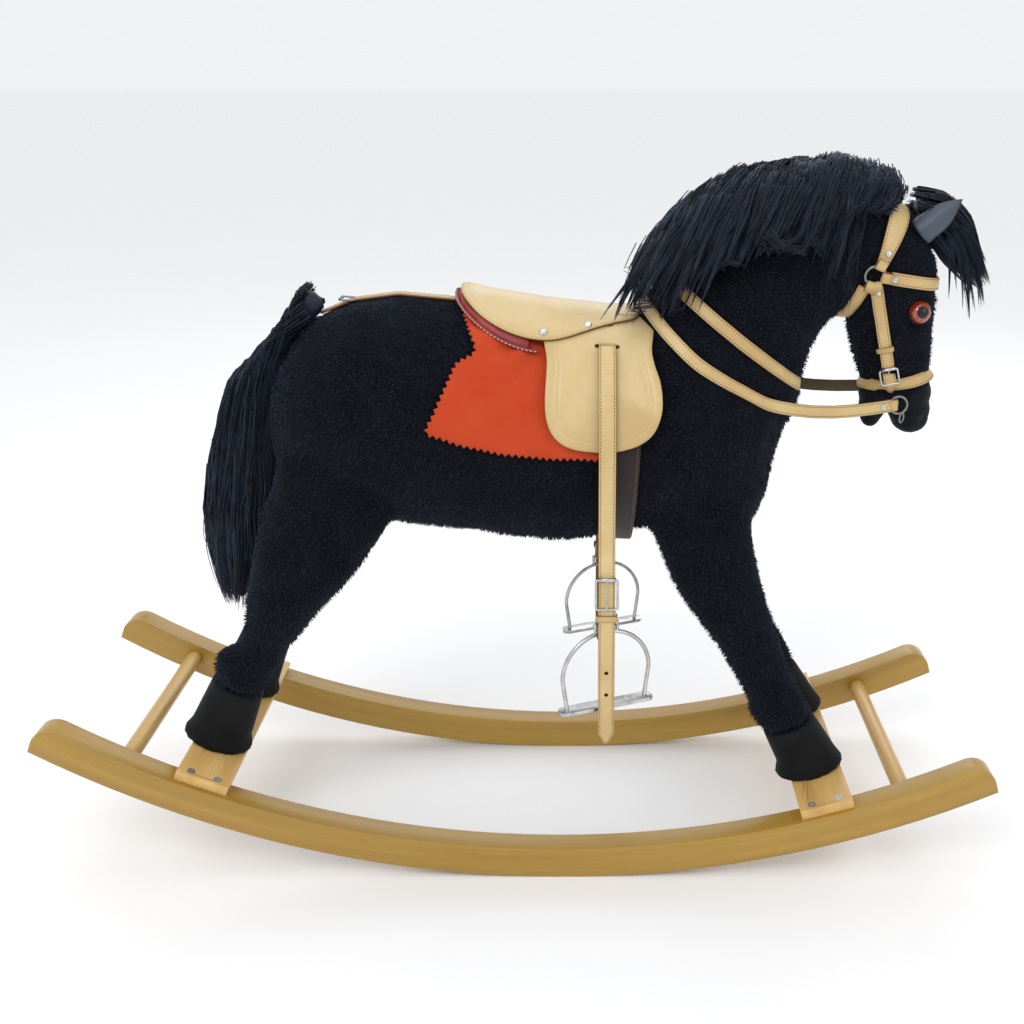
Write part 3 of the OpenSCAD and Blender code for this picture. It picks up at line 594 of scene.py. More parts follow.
def noise_value(tree, vector, scale, detail=4.0, rough=0.55, distortion=0.0):
    """A noise texture's value."""
    node = tree.nodes.new("ShaderNodeTexNoise")
    node.inputs["Scale"].default_value = scale
    node.inputs["Detail"].default_value = detail
    node.inputs["Roughness"].default_value = rough
    node.inputs["Distortion"].default_value = distortion
    tree.links.new(vector, node.inputs["Vector"])
    return node.outputs["Fac"]


def ramp(tree, value, stops):
    """Colours by value. stops are (place, (r, g, b))."""
    node = tree.nodes.new("ShaderNodeValToRGB")
    elements = node.color_ramp.elements
    while len(elements) < len(stops):
        elements.new(0.5)
    for element, (place, color) in zip(elements, stops):
        element.position = place
        element.color = (*color, 1)
    tree.links.new(value, node.inputs["Fac"])
    return node.outputs["Color"]


def mixed(tree, factor, a, b):
    """A mix of two colours. Each argument is a socket or a value."""
    node = tree.nodes.new("ShaderNodeMix")
    node.data_type = "RGBA"
    for socket, value in ((0, factor), (6, a), (7, b)):
        if isinstance(value, (int, float)):
            node.inputs[socket].default_value = value
        elif isinstance(value, tuple):
            node.inputs[socket].default_value = (*value, 1)
        else:
            tree.links.new(value, node.inputs[socket])
    return node.outputs[2]


def ranged(tree, value, low, high):
    """A value from 0 to 1, moved to a new range."""
    node = tree.nodes.new("ShaderNodeMapRange")
    node.inputs["To Min"].default_value = low
    node.inputs["To Max"].default_value = high
    tree.links.new(value, node.inputs["Value"])
    return node.outputs["Result"]


def added(tree, a, b, weight):
    """The sum of a and weighted b."""
    node = tree.nodes.new("ShaderNodeMath")
    node.operation = "MULTIPLY_ADD"
    tree.links.new(b, node.inputs[0])
    node.inputs[1].default_value = weight
    tree.links.new(a, node.inputs[2])
    return node.outputs[0]


def bumped(tree, shader, height, distance, strength=1.0):
    """Bump from a height, distance in metres."""
    node = tree.nodes.new("ShaderNodeBump")
    node.inputs["Strength"].default_value = strength
    node.inputs["Distance"].default_value = distance
    tree.links.new(height, node.inputs["Height"])
    tree.links.new(node.outputs["Normal"], shader.inputs["Normal"])


def edge_wear(tree, amount=0.08):
    """High on sharp convex edges, by pointiness."""
    node = tree.nodes.new("ShaderNodeNewGeometry")
    out = tree.nodes.new("ShaderNodeMapRange")
    out.inputs["From Min"].default_value = 0.5
    out.inputs["From Max"].default_value = 0.5 + amount
    tree.links.new(node.outputs["Pointiness"], out.inputs["Value"])
    return out.outputs["Result"]


def maths(tree, operation, a, b):
    """A sum of two values, each a socket or a number."""
    node = tree.nodes.new("ShaderNodeMath")
    node.operation = operation
    for socket, value in zip(node.inputs, (a, b)):
        if isinstance(value, (int, float)):
            socket.default_value = value
        else:
            tree.links.new(value, socket)
    return node.outputs[0]


def bow_coords(tree, along, across):
    """Coordinates that run round the bows: along the arc, across it, and up through its depth."""
    coords = tree.nodes.new("ShaderNodeTexCoord")
    split = tree.nodes.new("ShaderNodeSeparateXYZ")
    tree.links.new(coords.outputs["Object"], split.inputs[0])
    drop = maths(tree, "SUBTRACT", BOW_RADIUS * MM, split.outputs["Z"])
    shift = maths(tree, "SUBTRACT", split.outputs["X"], REST_SHIFT * MM)
    angle = maths(tree, "ARCTAN2", shift, drop)
    flat = tree.nodes.new("ShaderNodeCombineXYZ")
    tree.links.new(shift, flat.inputs[0])
    tree.links.new(drop, flat.inputs[1])
    length = tree.nodes.new("ShaderNodeVectorMath")
    length.operation = "LENGTH"
    tree.links.new(flat.outputs[0], length.inputs[0])
    out = tree.nodes.new("ShaderNodeCombineXYZ")
    for socket, source, scale in ((0, angle, along * BOW_RADIUS * MM), (1, split.outputs["Y"], across),
                                  (2, length.outputs["Value"], across)):
        tree.links.new(maths(tree, "MULTIPLY", source, scale), out.inputs[socket])
    return out.outputs[0]


def wood(name, vector_of, dark, mid, light, rough=0.34):
    """Lacquered wood: long streaks, short pores and faint cloudy colour."""
    mat, tree, shader = material(name, mid, rough)
    streaks = noise_value(tree, vector_of(tree, 1.6, 46), 1.0, 5, 0.6, 0.25)
    pores = noise_value(tree, vector_of(tree, 22, 420), 1.0, 3, 0.6)
    cloud = noise_value(tree, vector_of(tree, 5, 9), 1.0, 2)
    base = ramp(tree, streaks, [(0.28, dark), (0.50, mid), (0.74, light)])
    clouded = mixed(tree, ranged(tree, cloud, 0.0, 0.55), base, mid)
    pored = mixed(tree, ranged(tree, pores, -0.35, 0.55), clouded, dark)
    tree.links.new(pored, shader.inputs["Base Color"])
    tree.links.new(ranged(tree, streaks, rough - 0.06, rough + 0.12), shader.inputs["Roughness"])
    bumped(tree, shader, added(tree, streaks, pores, 0.5), 0.00018, 0.6)
    shader.inputs["Coat Weight"].default_value = 0.35
    shader.inputs["Coat Roughness"].default_value = 0.22
    return mat


def straight_grain(axis):
    """Coordinates for wood whose grain runs along one axis."""
    def vector_of(tree, along, across):
        scale = [across, across, across]
        scale[axis] = along
        return object_coords(tree, tuple(scale))
    return vector_of


def napped(shader, sheen, rough, tint, specular):
    """A soft nap: sheen at grazing angles and little gloss."""
    shader.inputs["Sheen Weight"].default_value = sheen
    shader.inputs["Sheen Roughness"].default_value = rough
    shader.inputs["Sheen Tint"].default_value = (*tint, 1)
    shader.inputs["Specular IOR Level"].default_value = specular


def plush_skin():
    """The backing and lying pile of black plush."""
    mat, tree, shader = material("black_plush", (0.012, 0.014, 0.020), 0.95)
    tufts = noise_value(tree, object_coords(tree, (1, 1, 1.6)), 420, 3, 0.6)
    swirl = noise_value(tree, object_coords(tree), 55, 4, 0.6, 0.8)
    color = ramp(tree, swirl, [(0.3, (0.003, 0.004, 0.006)), (0.55, (0.006, 0.008, 0.012)),
                               (0.8, (0.011, 0.014, 0.022))])
    tree.links.new(mixed(tree, ranged(tree, tufts, 0.1, 0.7), color, (0.002, 0.002, 0.003)),
                   shader.inputs["Base Color"])
    bumped(tree, shader, added(tree, tufts, swirl, 1.5), 0.0016, 0.8)
    napped(shader, 0.12, 0.45, (0.22, 0.30, 0.50), 0.08)
    return mat


def fibre(name, dark, light, rough, sheen, streak_scale):
    """Combed synthetic fibre."""
    mat, tree, shader = material(name, dark, rough)
    streaks = noise_value(tree, object_coords(tree), streak_scale, 3, 0.6)
    tree.links.new(ramp(tree, streaks, [(0.35, dark), (0.72, light)]), shader.inputs["Base Color"])
    tree.links.new(ranged(tree, streaks, rough - 0.08, rough + 0.14), shader.inputs["Roughness"])
    napped(shader, sheen, 0.4, (0.28, 0.38, 0.62), 0.30)
    return mat


def suede(name, color, light, scale=700):
    """Short smooth nap, on hooves and muzzle."""
    mat, tree, shader = material(name, color, 0.72)
    nap = noise_value(tree, object_coords(tree), scale, 4, 0.65)
    wear = noise_value(tree, object_coords(tree), 28, 3, 0.6, 0.4)
    tree.links.new(mixed(tree, ranged(tree, nap, 0.0, 0.5), ramp(tree, wear, [(0.35, color), (0.75, light)]),
                         color), shader.inputs["Base Color"])
    bumped(tree, shader, nap, 0.0003, 0.5)
    napped(shader, 0.10, 0.35, (0.45, 0.55, 0.75), 0.16)
    return mat


def leather(name, dark, mid, light, rough=0.42, pore=520, blotch=9):
    """Vegetable-tanned leather: pores, faint blotches, a soft wax shine, darker worn edges."""
    mat, tree, shader = material(name, mid, rough)
    blotches = noise_value(tree, object_coords(tree), blotch, 3, 0.5, 0.6)
    grain = tree.nodes.new("ShaderNodeTexVoronoi")
    grain.inputs["Scale"].default_value = pore
    tree.links.new(object_coords(tree), grain.inputs["Vector"])
    speck = noise_value(tree, object_coords(tree), 150, 4, 0.7)
    base = ramp(tree, blotches, [(0.28, dark), (0.52, mid), (0.74, light)])
    specked = mixed(tree, ranged(tree, speck, -0.35, 0.42), base, dark)
    tree.links.new(mixed(tree, edge_wear(tree), specked, dark), shader.inputs["Base Color"])
    tree.links.new(ranged(tree, speck, rough - 0.07, rough + 0.12), shader.inputs["Roughness"])
    bumped(tree, shader, added(tree, grain.outputs["Distance"], speck, 0.9), 0.00016, 0.5)
    shader.inputs["Coat Weight"].default_value = 0.12
    shader.inputs["Coat Roughness"].default_value = 0.35
    return mat


def felt(name, dark, mid, light):
    """Wool felt: matted fibres and a soft bloom."""
    mat, tree, shader = material(name, mid, 0.92)
    fibres = noise_value(tree, object_coords(tree, (1, 0.35, 1), (0.4, 0.3, 0.7)), 900, 4, 0.7, 1.5)
    crossed = noise_value(tree, object_coords(tree, (0.35, 1, 1), (1.1, 0.2, 0.3)), 780, 4, 0.7, 1.5)
    patches = noise_value(tree, object_coords(tree), 22, 3)
    base = ramp(tree, patches, [(0.3, mid), (0.7, light)])
    tree.links.new(mixed(tree, ranged(tree, fibres, 0.0, 0.6), base, dark), shader.inputs["Base Color"])
    bumped(tree, shader, added(tree, fibres, crossed, 1.0), 0.0006, 0.7)
    napped(shader, 0.2, 0.5, (1.0, 0.50, 0.35), 0.1)
    return mat


def webbing(name, dark, light):
    """Woven band with fine ribs."""
    mat, tree, shader = material(name, dark, 0.85)
    wave = tree.nodes.new("ShaderNodeTexWave")
    wave.inputs["Scale"].default_value = 260
    wave.inputs["Distortion"].default_value = 0.6
    wave.bands_direction = "Z"
    tree.links.new(object_coords(tree), wave.inputs["Vector"])
    tree.links.new(ramp(tree, wave.outputs["Fac"], [(0.2, dark), (0.8, light)]),
                   shader.inputs["Base Color"])
    bumped(tree, shader, wave.outputs["Fac"], 0.0004, 0.6)
    shader.inputs["Sheen Weight"].default_value = 0.2
    return mat


def steel(name, color, rough):
    """Plated steel with smudges and fine scratches."""
    mat, tree, shader = material(name, color, rough, 1.0)
    smudge = noise_value(tree, object_coords(tree), 60, 4, 0.7, 0.5)
    scratch = noise_value(tree, object_coords(tree, (1, 12, 12)), 240, 3, 0.7)
    worn = tuple(c * 0.62 for c in color)
    tree.links.new(ramp(tree, smudge, [(0.3, worn), (0.62, color)]), shader.inputs["Base Color"])
    tree.links.new(ranged(tree, smudge, rough - 0.08, rough + 0.2), shader.inputs["Roughness"])
    bumped(tree, shader, scratch, 0.00005, 0.4)
    return mat


def thread(name, color):
    """Twisted thread."""
    mat, tree, shader = material(name, color, 0.6)
    twist = noise_value(tree, object_coords(tree), 1800, 2)
    tree.links.new(mixed(tree, ranged(tree, twist, 0.0, 0.7), color, tuple(c * 0.5 for c in color)),
                   shader.inputs["Base Color"])
    return mat


def iris_glass():
    """Amber glass, darker towards its rim, with faint spokes and a faint painted glow."""
    mat, tree, shader = material("amber_glass", (0.70, 0.13, 0.01), 0.12)
    spokes = noise_value(tree, object_coords(tree, (1, 1, 1)), 320, 3, 0.6, 1.2)
    tree.links.new(ramp(tree, spokes, [(0.3, (0.20, 0.010, 0.002)), (0.55, (0.52, 0.045, 0.004)),
                                       (0.8, (0.90, 0.20, 0.012))]), shader.inputs["Base Color"])
    shader.inputs["Coat Weight"].default_value = 1.0
    shader.inputs["Coat Roughness"].default_value = 0.03
    # painted glow: a faint amber emission, as if light came through the iris
    shader.inputs["Emission Color"].default_value = (0.9, 0.12, 0.0, 1)
    shader.inputs["Emission Strength"].default_value = 0.02
    return mat


def clear_glass():
    """The clear dome over an eye."""
    mat, tree, shader = material("clear_glass", (1, 1, 1), 0.02)
    smear = noise_value(tree, object_coords(tree), 90, 2)
    tree.links.new(ranged(tree, smear, 0.0, 0.05), shader.inputs["Roughness"])
    shader.inputs["Transmission Weight"].default_value = 1.0
    shader.inputs["IOR"].default_value = 1.45
    return mat


def pupil_black_and_hole_shade():
    """The black of a pupil, also used as painted shade for the dark inside of holes and of the stirrup slots.
    """
    mat, tree, shader = material("pupil_black_and_hole_shade", (0.004, 0.003, 0.003), 0.08)
    smear = noise_value(tree, object_coords(tree), 90, 2)
    tree.links.new(ranged(tree, smear, 0.25, 0.35), shader.inputs["Roughness"])
    shader.inputs["Specular IOR Level"].default_value = 0.05
    return mat


MAT = {
    "bow": wood("bow_wood", bow_coords, (0.27, 0.145, 0.014), (0.39, 0.225, 0.023), (0.48, 0.30, 0.045)),
    "dowel": wood("dowel_wood", straight_grain(1), (0.40, 0.23, 0.06), (0.56, 0.35, 0.11),
                  (0.66, 0.45, 0.18)),
    "plank": wood("plank_wood", straight_grain(1), (0.50, 0.29, 0.075), (0.66, 0.41, 0.135),
                  (0.74, 0.50, 0.20), 0.42),
    "frame": wood("frame_wood", straight_grain(2), (0.44, 0.28, 0.12), (0.60, 0.42, 0.22),
                  (0.70, 0.53, 0.32), 0.6),
    "plush": plush_skin(),
    "pile": fibre("plush_pile", (0.003, 0.004, 0.006), (0.010, 0.013, 0.021), 0.85, 0.18, 190),
    "hair": fibre("long_hair", (0.003, 0.0045, 0.008), (0.014, 0.022, 0.044), 0.42, 0.16, 70),
    "suede": suede("hoof_suede", (0.004, 0.0045, 0.0055), (0.009, 0.010, 0.012)),
    "muzzle": suede("muzzle_nap", (0.002, 0.003, 0.005), (0.005, 0.007, 0.011)),
    "ear": leather("ear_leather", (0.030, 0.042, 0.062), (0.055, 0.075, 0.108), (0.090, 0.120, 0.165), 0.45),
    "ear_edge": leather("ear_edge", (0.30, 0.28, 0.27), (0.48, 0.45, 0.43), (0.60, 0.56, 0.53), 0.6),
    "tan": leather("tan_leather", (0.46, 0.30, 0.11), (0.61, 0.45, 0.20), (0.69, 0.54, 0.27)),
    "saddle": leather("saddle_leather", (0.47, 0.31, 0.12), (0.59, 0.44, 0.20), (0.67, 0.52, 0.275), 0.38),
    "cut": leather("cut_edge", (0.17, 0.075, 0.022), (0.28, 0.135, 0.045), (0.38, 0.20, 0.075), 0.65),
    "flesh": leather("flesh_side", (0.085, 0.062, 0.030), (0.145, 0.105, 0.052), (0.22, 0.16, 0.085), 0.85),
    "felt": felt("orange_felt", (0.36, 0.026, 0.008), (0.56, 0.058, 0.018), (0.64, 0.085, 0.028)),
    "red": leather("red_leather", (0.17, 0.012, 0.012), (0.30, 0.022, 0.020), (0.42, 0.045, 0.036), 0.45),
    "girth": webbing("red_webbing", (0.008, 0.004, 0.005), (0.022, 0.008, 0.009)),
    "plated": steel("plated_steel", (0.62, 0.62, 0.61), 0.24),
    "zinc": steel("zinc_steel", (0.86, 0.87, 0.89), 0.38),
    "dull": steel("dull_steel", (0.30, 0.30, 0.30), 0.38),
    "brown_thread": thread("brown_thread", (0.17, 0.075, 0.022)),
    "white_thread": thread("white_thread", (0.72, 0.70, 0.66)),
    "iris": iris_glass(),
    "cornea": clear_glass(),
    "pupil": pupil_black_and_hole_shade(),
}


# ---------- camera, floor and lights ----------
LOOK_DOWN = 20.8
COOL_WHITE = (0.93, 0.96, 1.0)


def camera():
    """The camera that was fitted to the photo."""
    data = bpy.data.cameras.new("camera")
    data.lens = 40.85
    data.sensor_width = 36
    data.shift_x = -0.0713
    obj = linked("camera", data)
    obj.location = (0.0768, -1.266, 0.876)
    obj.rotation_euler = (math.radians(90 - LOOK_DOWN), 0, 0)
    bpy.context.scene.camera = obj


def floor():
    """A white floor for the stage, far wider than the view."""
    mat, tree, shader = material("floor", (0.95, 0.95, 0.95), 0.9)
    cloud = noise_value(tree, object_coords(tree), 2, 2)
    tree.links.new(ramp(tree, cloud, [(0.0, (0.945, 0.945, 0.945)), (1.0, (0.96, 0.96, 0.96))]),
                   shader.inputs["Base Color"])
    mesh = bpy.data.meshes.new("floor")
    r = 60
    mesh.from_pydata([(-r, -r, 0), (r, -r, 0), (r, r, 0), (-r, r, 0)], [], [(0, 1, 2, 3)])
    mesh.materials.append(mat)
    obj = linked("floor", mesh)


def area_light(name, place, target, size, power, color=(1, 1, 1)):
    """A round light that looks at the target."""
    data = bpy.data.lights.new(name, "AREA")
    data.shape = "DISK"
    data.size = size
    data.energy = power
    data.color = color
    obj = linked(name, data)
    obj.location = place
    obj.rotation_euler = (Vector(target) - Vector(place)).to_track_quat("-Z", "Y").to_euler()


def lights():
    """Soft studio light from every side, plain white behind."""
    world = bpy.data.worlds.new("studio")
    bpy.context.scene.world = world
    world.use_nodes = True
    world.node_tree.nodes["Background"].inputs["Color"].default_value = (0.97, 0.98, 1.0, 1)
    world.node_tree.nodes["Background"].inputs["Strength"].default_value = 0.90
    middle = (0, 0, 0.4)
    area_light("key", (-1.1, -2.0, 2.6), middle, 1.6, 24)
    area_light("fill", (2.2, -1.9, 1.7), middle, 1.8, 9)
    area_light("top", (0.1, 0.5, 3.0), middle, 2.2, 11)
    area_light("rim", (0.6, 2.6, 1.8), middle, 1.4, 8, COOL_WHITE)
    scene = bpy.context.scene
    scene.view_settings.view_transform = "Standard"
    scene.view_settings.look = "None"


# ---------- plush body ----------
def stuffed_body():
    """One plush skin over torso, neck, head and legs, with the slack lumps of a stuffed toy."""
    nodes = ["torso", "neck", "head"] + [leg + "_leg" for leg in LEGS]
    obj = remeshed(copy_of("plush_body", nodes), 0.006, 7)
    inflated(obj, 1.5, 0.0025, 10)
    co, no = points_of(obj), normals_of(obj)
    mouth = leaned(400, 0, 562).z
    for i, p in enumerate(co):
        lump = noise.noise(Vector(p) * 17) * 2.0 + noise.noise(Vector(p) * 42) * 0.9
        breast = max(0, no[i][0]) if 0.18 < p[0] < 0.33 else 0
        chest = CHEST_OUT * math.exp(-((p[2] - 0.535) / 0.045) ** 2) * breast
        co[i] = p + no[i] * (lump - SKIN_IN + chest) * MM
        if p[0] > 0.39 and p[2] < mouth:
            co[i][2] = mouth + (p[2] - mouth) * 0.1
    put_points(obj, co)
    finished(obj, MAT["plush"], "base")
    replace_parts(obj, *nodes)
    return obj


def tree_of(*objs):
    """A search tree over the final meshes of several pieces."""
    verts, faces = [], []
    for o in objs:
        base = len(verts)
        verts += [v.co.copy() for v in o.data.vertices]
        faces += [[base + i for i in f.vertices] for f in o.data.polygons]
    return BVHTree.FromPolygons(verts, faces)


def ellipsoid(bm, centre, radii):
    """Adds an ellipsoid, in level millimetres, to a mesh being built."""
    made = bmesh.ops.create_icosphere(bm, subdivisions=3, radius=1)
    for v in made["verts"]:
        v.co = leaned(*(c + r * x for c, r, x in zip(centre, radii, v.co)))


def muzzle():
    """Smooth nose and chin lobes with the mouth between them."""
    bm = bmesh.new()
    for centre, radii in (
            ((402, 0, 578), (38, 33.5, 17)), ((417, 0, 560), (27, 31, 24)), ((422, 0, 541), (23.5, 28, 22)),
            ((424, 0, 531), (21, 25, 18)), ((384, 0, 560), (21, 25, 22)), ((381, 0, 543), (15.5, 19, 20)),
            ((380, 0, 533), (12, 15.5, 16))):
        ellipsoid(bm, centre, radii)
    mesh = bpy.data.meshes.new("muzzle")
    bm.to_mesh(mesh)
    bm.free()
    obj = linked("muzzle", mesh)
    remeshed(obj, 0.0022, 10)
    co, no = points_of(obj), normals_of(obj)
    for side in (-1, 1):
        nostril = np.array(leaned(434, side * 22, 533))
        near = np.exp(-(np.linalg.norm((co - nostril) * (1, 1, 0.75), axis=1) / 0.006) ** 2)
        co -= no * near[:, None] * 2.2 * MM
    put_points(obj, co)
    return finished(obj, MAT["muzzle"], "base")


def hooves():
    """Stitched suede boots over the foot of each leg."""
    for leg in LEGS:
        obj = copy_of(leg + "_boot", [leg + "_hoof"])
        remeshed(obj, 0.003, 4)
        finished(obj, MAT["suede"], "base")
        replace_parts(obj, leg + "_hoof")


def ear(side, name):
    """A cupped leaf of leather-like cloth with a pale cut edge, opening forward."""
    base, tip = Vector((399, side * 35, 742)), Vector((435, side * 40, 775))
    along = (tip - base).normalized()
    back = Vector((-0.25, side * 0.90, 0.30))
    back = (back - along * back.dot(along)).normalized()
    across = along.cross(back)
    length = (tip - base).length

    def place(s, t):
        u = s / length
        bend = math.radians(78) * (1 - 0.45 * u)
        r = 13.5
        a = t / r * bend / math.radians(78)
        p = base + along * s + across * r * math.sin(a) + back * (r * (math.cos(a) - 0.75) - 4 * u * u)
        n = across * math.sin(a) + back * math.cos(a)
        return leaned(*p), turned(*n)

    half = [(-5, 15), (6, 18.5), (17, 18.5), (28, 14.5), (38, 8), (46, 1.2)]
    outline = smooth_outline(half + [(x, -y) for x, y in reversed(half)], 1.6)
    return plate(name, outline, 2.2, place, 1.6, "base",
                 [MAT["ear"], MAT["ear_edge"], MAT["pile"]])


def ears():
    """Both ears, each for its CAD node."""
    for side, name in ((-1, "right"), (1, "left")):
        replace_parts(ear(side, name + "_ear_leaf"), name + "_ear")


def lathe(name, centre, axis, profile, body, mat, sides=32):
    """A turned form about an axis through centre. profile is (radius, height) in millimetres."""
    axis = Vector(axis).normalized()
    turn = Vector((0, 0, 1)).rotation_difference(axis).to_matrix()
    verts, faces = [], []
    for r, h in profile:
        for k in range(sides):
            a = 2 * math.pi * k / sides
            verts.append(Vector(centre) + turn @ Vector((r * math.cos(a), r * math.sin(a), h)) * MM)
    for i in range(len(profile) - 1):
        a, b = i * sides, (i + 1) * sides
        faces += [(a + k, a + (k + 1) % sides, b + (k + 1) % sides, b + k) for k in range(sides)]
    faces.append(tuple(reversed(range(sides))))
    faces.append(tuple(range((len(profile) - 1) * sides, len(profile) * sides)))
    return new_object(name, verts, faces, body, [mat])


def ball_profile(r, start, end, steps=14):
    """Points of a ball from one polar angle to another, in degrees from its far pole."""
    out = []
    for i in range(steps + 1):
        a = math.radians(start + (end - start) * i / steps)
        out.append((max(r * math.sin(a), 0.02), -r * math.cos(a)))
    return out


def eyes():
    """Two glass eyes: iris, pupil, clear dome and a soft lid round each."""
    for side, name in ((-1, "right"), (1, "left")):
        centre = leaned(407, side * 36, 655)
        axis = turned(0.12, side * 0.97, 0.20)
        iris = lathe(name + "_iris", centre, axis, ball_profile(11.6, 40, 180), "base",
                     MAT["iris"])
        lathe(name + "_pupil", centre, axis, ball_profile(11.85, 148, 180, 6), "base",
              MAT["pupil"])
        lathe(name + "_cornea", centre, axis, ball_profile(12.6, 60, 180), "base",
              MAT["cornea"])
        ring = [Vector(centre) + Vector(axis) * 2.2 * MM + v * 12.4 * MM
                for v in circle_about(axis, 28)]
        tube(name + "_lid", ring, 1.5, "base", MAT["muzzle"], True)
        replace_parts(iris, name + "_eye")


def circle_about(axis, count):
    """Unit vectors round an axis."""
    axis = Vector(axis).normalized()
    one = axis.orthogonal().normalized()
    two = axis.cross(one)
    return [one * math.cos(2 * math.pi * k / count) + two * math.sin(2 * math.pi * k / count)
            for k in range(count)]


# ---------- saddle ----------
def torso_sheet(side, rise):
    """Lays flat coordinates on the torso: along x, and round it in millimetres."""
    def place(u, v):
        return on_torso(u, side * math.radians(v / ROUND), rise)
    return place


def round_coord(x, z, rise):
    """The coordinate round the torso at which a layer at rise has the height z."""
    return ROUND * math.degrees(angle_at_height(x, z, rise))


def pinked(outline, pitch=7.2, tooth=3.6):
    """A zig-zag cut along an outline."""
    even = smooth_outline(outline, pitch / 2)
    if len(even) % 2:
        even = even[:-1]
    t = np.roll(even, -1, axis=0) - np.roll(even, 1, axis=0)
    t /= np.linalg.norm(t, axis=1, keepdims=True)
    out = np.column_stack([t[:, 1], -t[:, 0]])
    sign = np.where(np.arange(len(even)) % 2, 1, -1)[:, None]
    return even + out * sign * tooth / 2


def cloth_fold(u, v):
    """How far the felt stands off the plush: folds that fan out from the flap's upper rear corner."""
    x, y = u - 6, abs(v) - 66
    reach = math.hypot(x, y)
    angle = math.degrees(math.atan2(y, -x))
    fade = min(1, reach / 30) * math.exp(-max(0, reach - 60) / 70)
    fan = 5.2 * math.exp(-((angle - 12) / 13) ** 2) + 6.0 * math.exp(-((angle - 50) / 12) ** 2)
    fan += 3.4 * math.exp(-((angle + 22) / 10) ** 2)
    ripple = 1.2 * noise.noise(Vector((u * 0.03, v * 0.03, 1.7)))
    edge = 2.0 * math.exp(-((u + 92) / 16) ** 2)
    under_saddle = 1 if u < 8 else math.exp(-((u - 8) / 8) ** 2)
    curl = 9 * math.exp(-((u + 70) / 13) ** 2 - ((v + 70) / 28) ** 2)
    return max(0, (fan * fade + ripple + edge) * under_saddle + curl)


def saddle_cloth():
    """Orange felt with a pinked edge, draped under the saddle."""
    half = [(x, round_coord(x, z, 2)) for x, z in CLOTH]
    front = half[-1][0]
    outline = half + [(front - 1, 0)] + [(x, -v) for x, v in reversed(half)] + [(-78, 0)]
    dense = []
    for (x0, y0), (x1, y1) in zip(outline, outline[1:] + outline[:1]):
        steps = max(1, int(math.hypot(x1 - x0, y1 - y0) / 18))
        dense += [(x0 + (x1 - x0) * i / steps, y0 + (y1 - y0) * i / steps) for i in range(steps)]
    base = torso_sheet(1, 1.2)

    def place(u, v):
        p, n = base(u, v)
        return p + n * cloth_fold(u, v) * MM, n

    edge = pinked(dense)
    obj = plate("felt_cloth", edge, 4.2, place, 2.0, "base", [MAT["felt"]] * 3)
    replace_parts(obj, "saddle_cloth")
    return obj


def seat_outline(grow=0.0):
    """The seat's outline, moved outward by grow."""
    pts = smooth_outline(SEAT + [(x, -y) for x, y in reversed(SEAT[1:])], 2.2)
    if grow:
        ahead, back = np.roll(pts, -1, axis=0), np.roll(pts, 1, axis=0)
        t = ahead - back
        t /= np.linalg.norm(t, axis=1, keepdims=True)
        area = (pts[:, 0] * ahead[:, 1] - ahead[:, 0] * pts[:, 1]).sum()
        pts = pts + np.column_stack([t[:, 1], -t[:, 0]]) * (grow if area > 0 else -grow)
    return pts


def seat_place(rise):
    """Lays flat coordinates on the torso: along x, and y off the middle."""
    def place(u, v):
        return on_torso(u, angle_at_side(u, v, rise), rise)
    return place


def saddle_seat():
    """The leather seat: dished, with an eased brown edge and a line tooled round it."""
    def relief(u, v, d):
        dish = -1.3 * math.exp(-((u - 10) / 42) ** 2 - (v / 40) ** 2)
        cantle = 1.6 * math.exp(-((u + 74) / 12) ** 2)
        roll = -0.9 * math.exp(-d / 1.1)
        groove = -0.35 * math.exp(-((d - 5) / 0.5) ** 2)
        return dish + cantle + roll + groove
    obj = plate("seat_leather", seat_outline(), 3.0, seat_place(SEAT_LOW), SEAT_T, "base",
                [MAT["saddle"], MAT["cut"], MAT["flesh"]], (0.8, 4.3, 5, 5.7), relief)
    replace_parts(obj, "saddle_seat")
    return obj


def seat_panel():
    """The red padded underpanel, swollen by cloth pressure, with a white-stitched piped rim."""
    obj = remeshed(copy_of("padded_panel", ["saddle_panel"]), 0.0034, 3)
    inflated(obj, 4.0, 0.0012, 12)
    finished(obj, MAT["red"], "base")
    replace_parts(obj, "saddle_panel")
    rim = [p for p in seat_outline(4.6) if p[0] < 6 and abs(p[1]) > 4]
    for side in (-1, 1):
        line = sorted([p for p in rim if p[1] * side > 0], key=lambda p: p[0])
        points, normals = [], []
        for u, v in line:
            p, n = on_torso(u, angle_at_side(u, v, 8.6), 8.6)
            points.append(p)
            normals.append(n)
        name = "right" if side > 0 else "left"
        tube(name + "_panel_piping", points, 2.1, "base", MAT["red"])
        _, _, _, across = strip_frames(points, normals)
        out = [(Vector(n) + Vector(a) * (1 if Vector(a).y * side < 0 else -1)).normalized()
               for n, a in zip(normals, across)]
        on = [Vector(p) + n * 2.05 * MM for p, n in zip(points, out)]
        stitching(name + "_panel_stitches", [(on, out)], "base", MAT["white_thread"], 4.6, 2.8, 0.5)


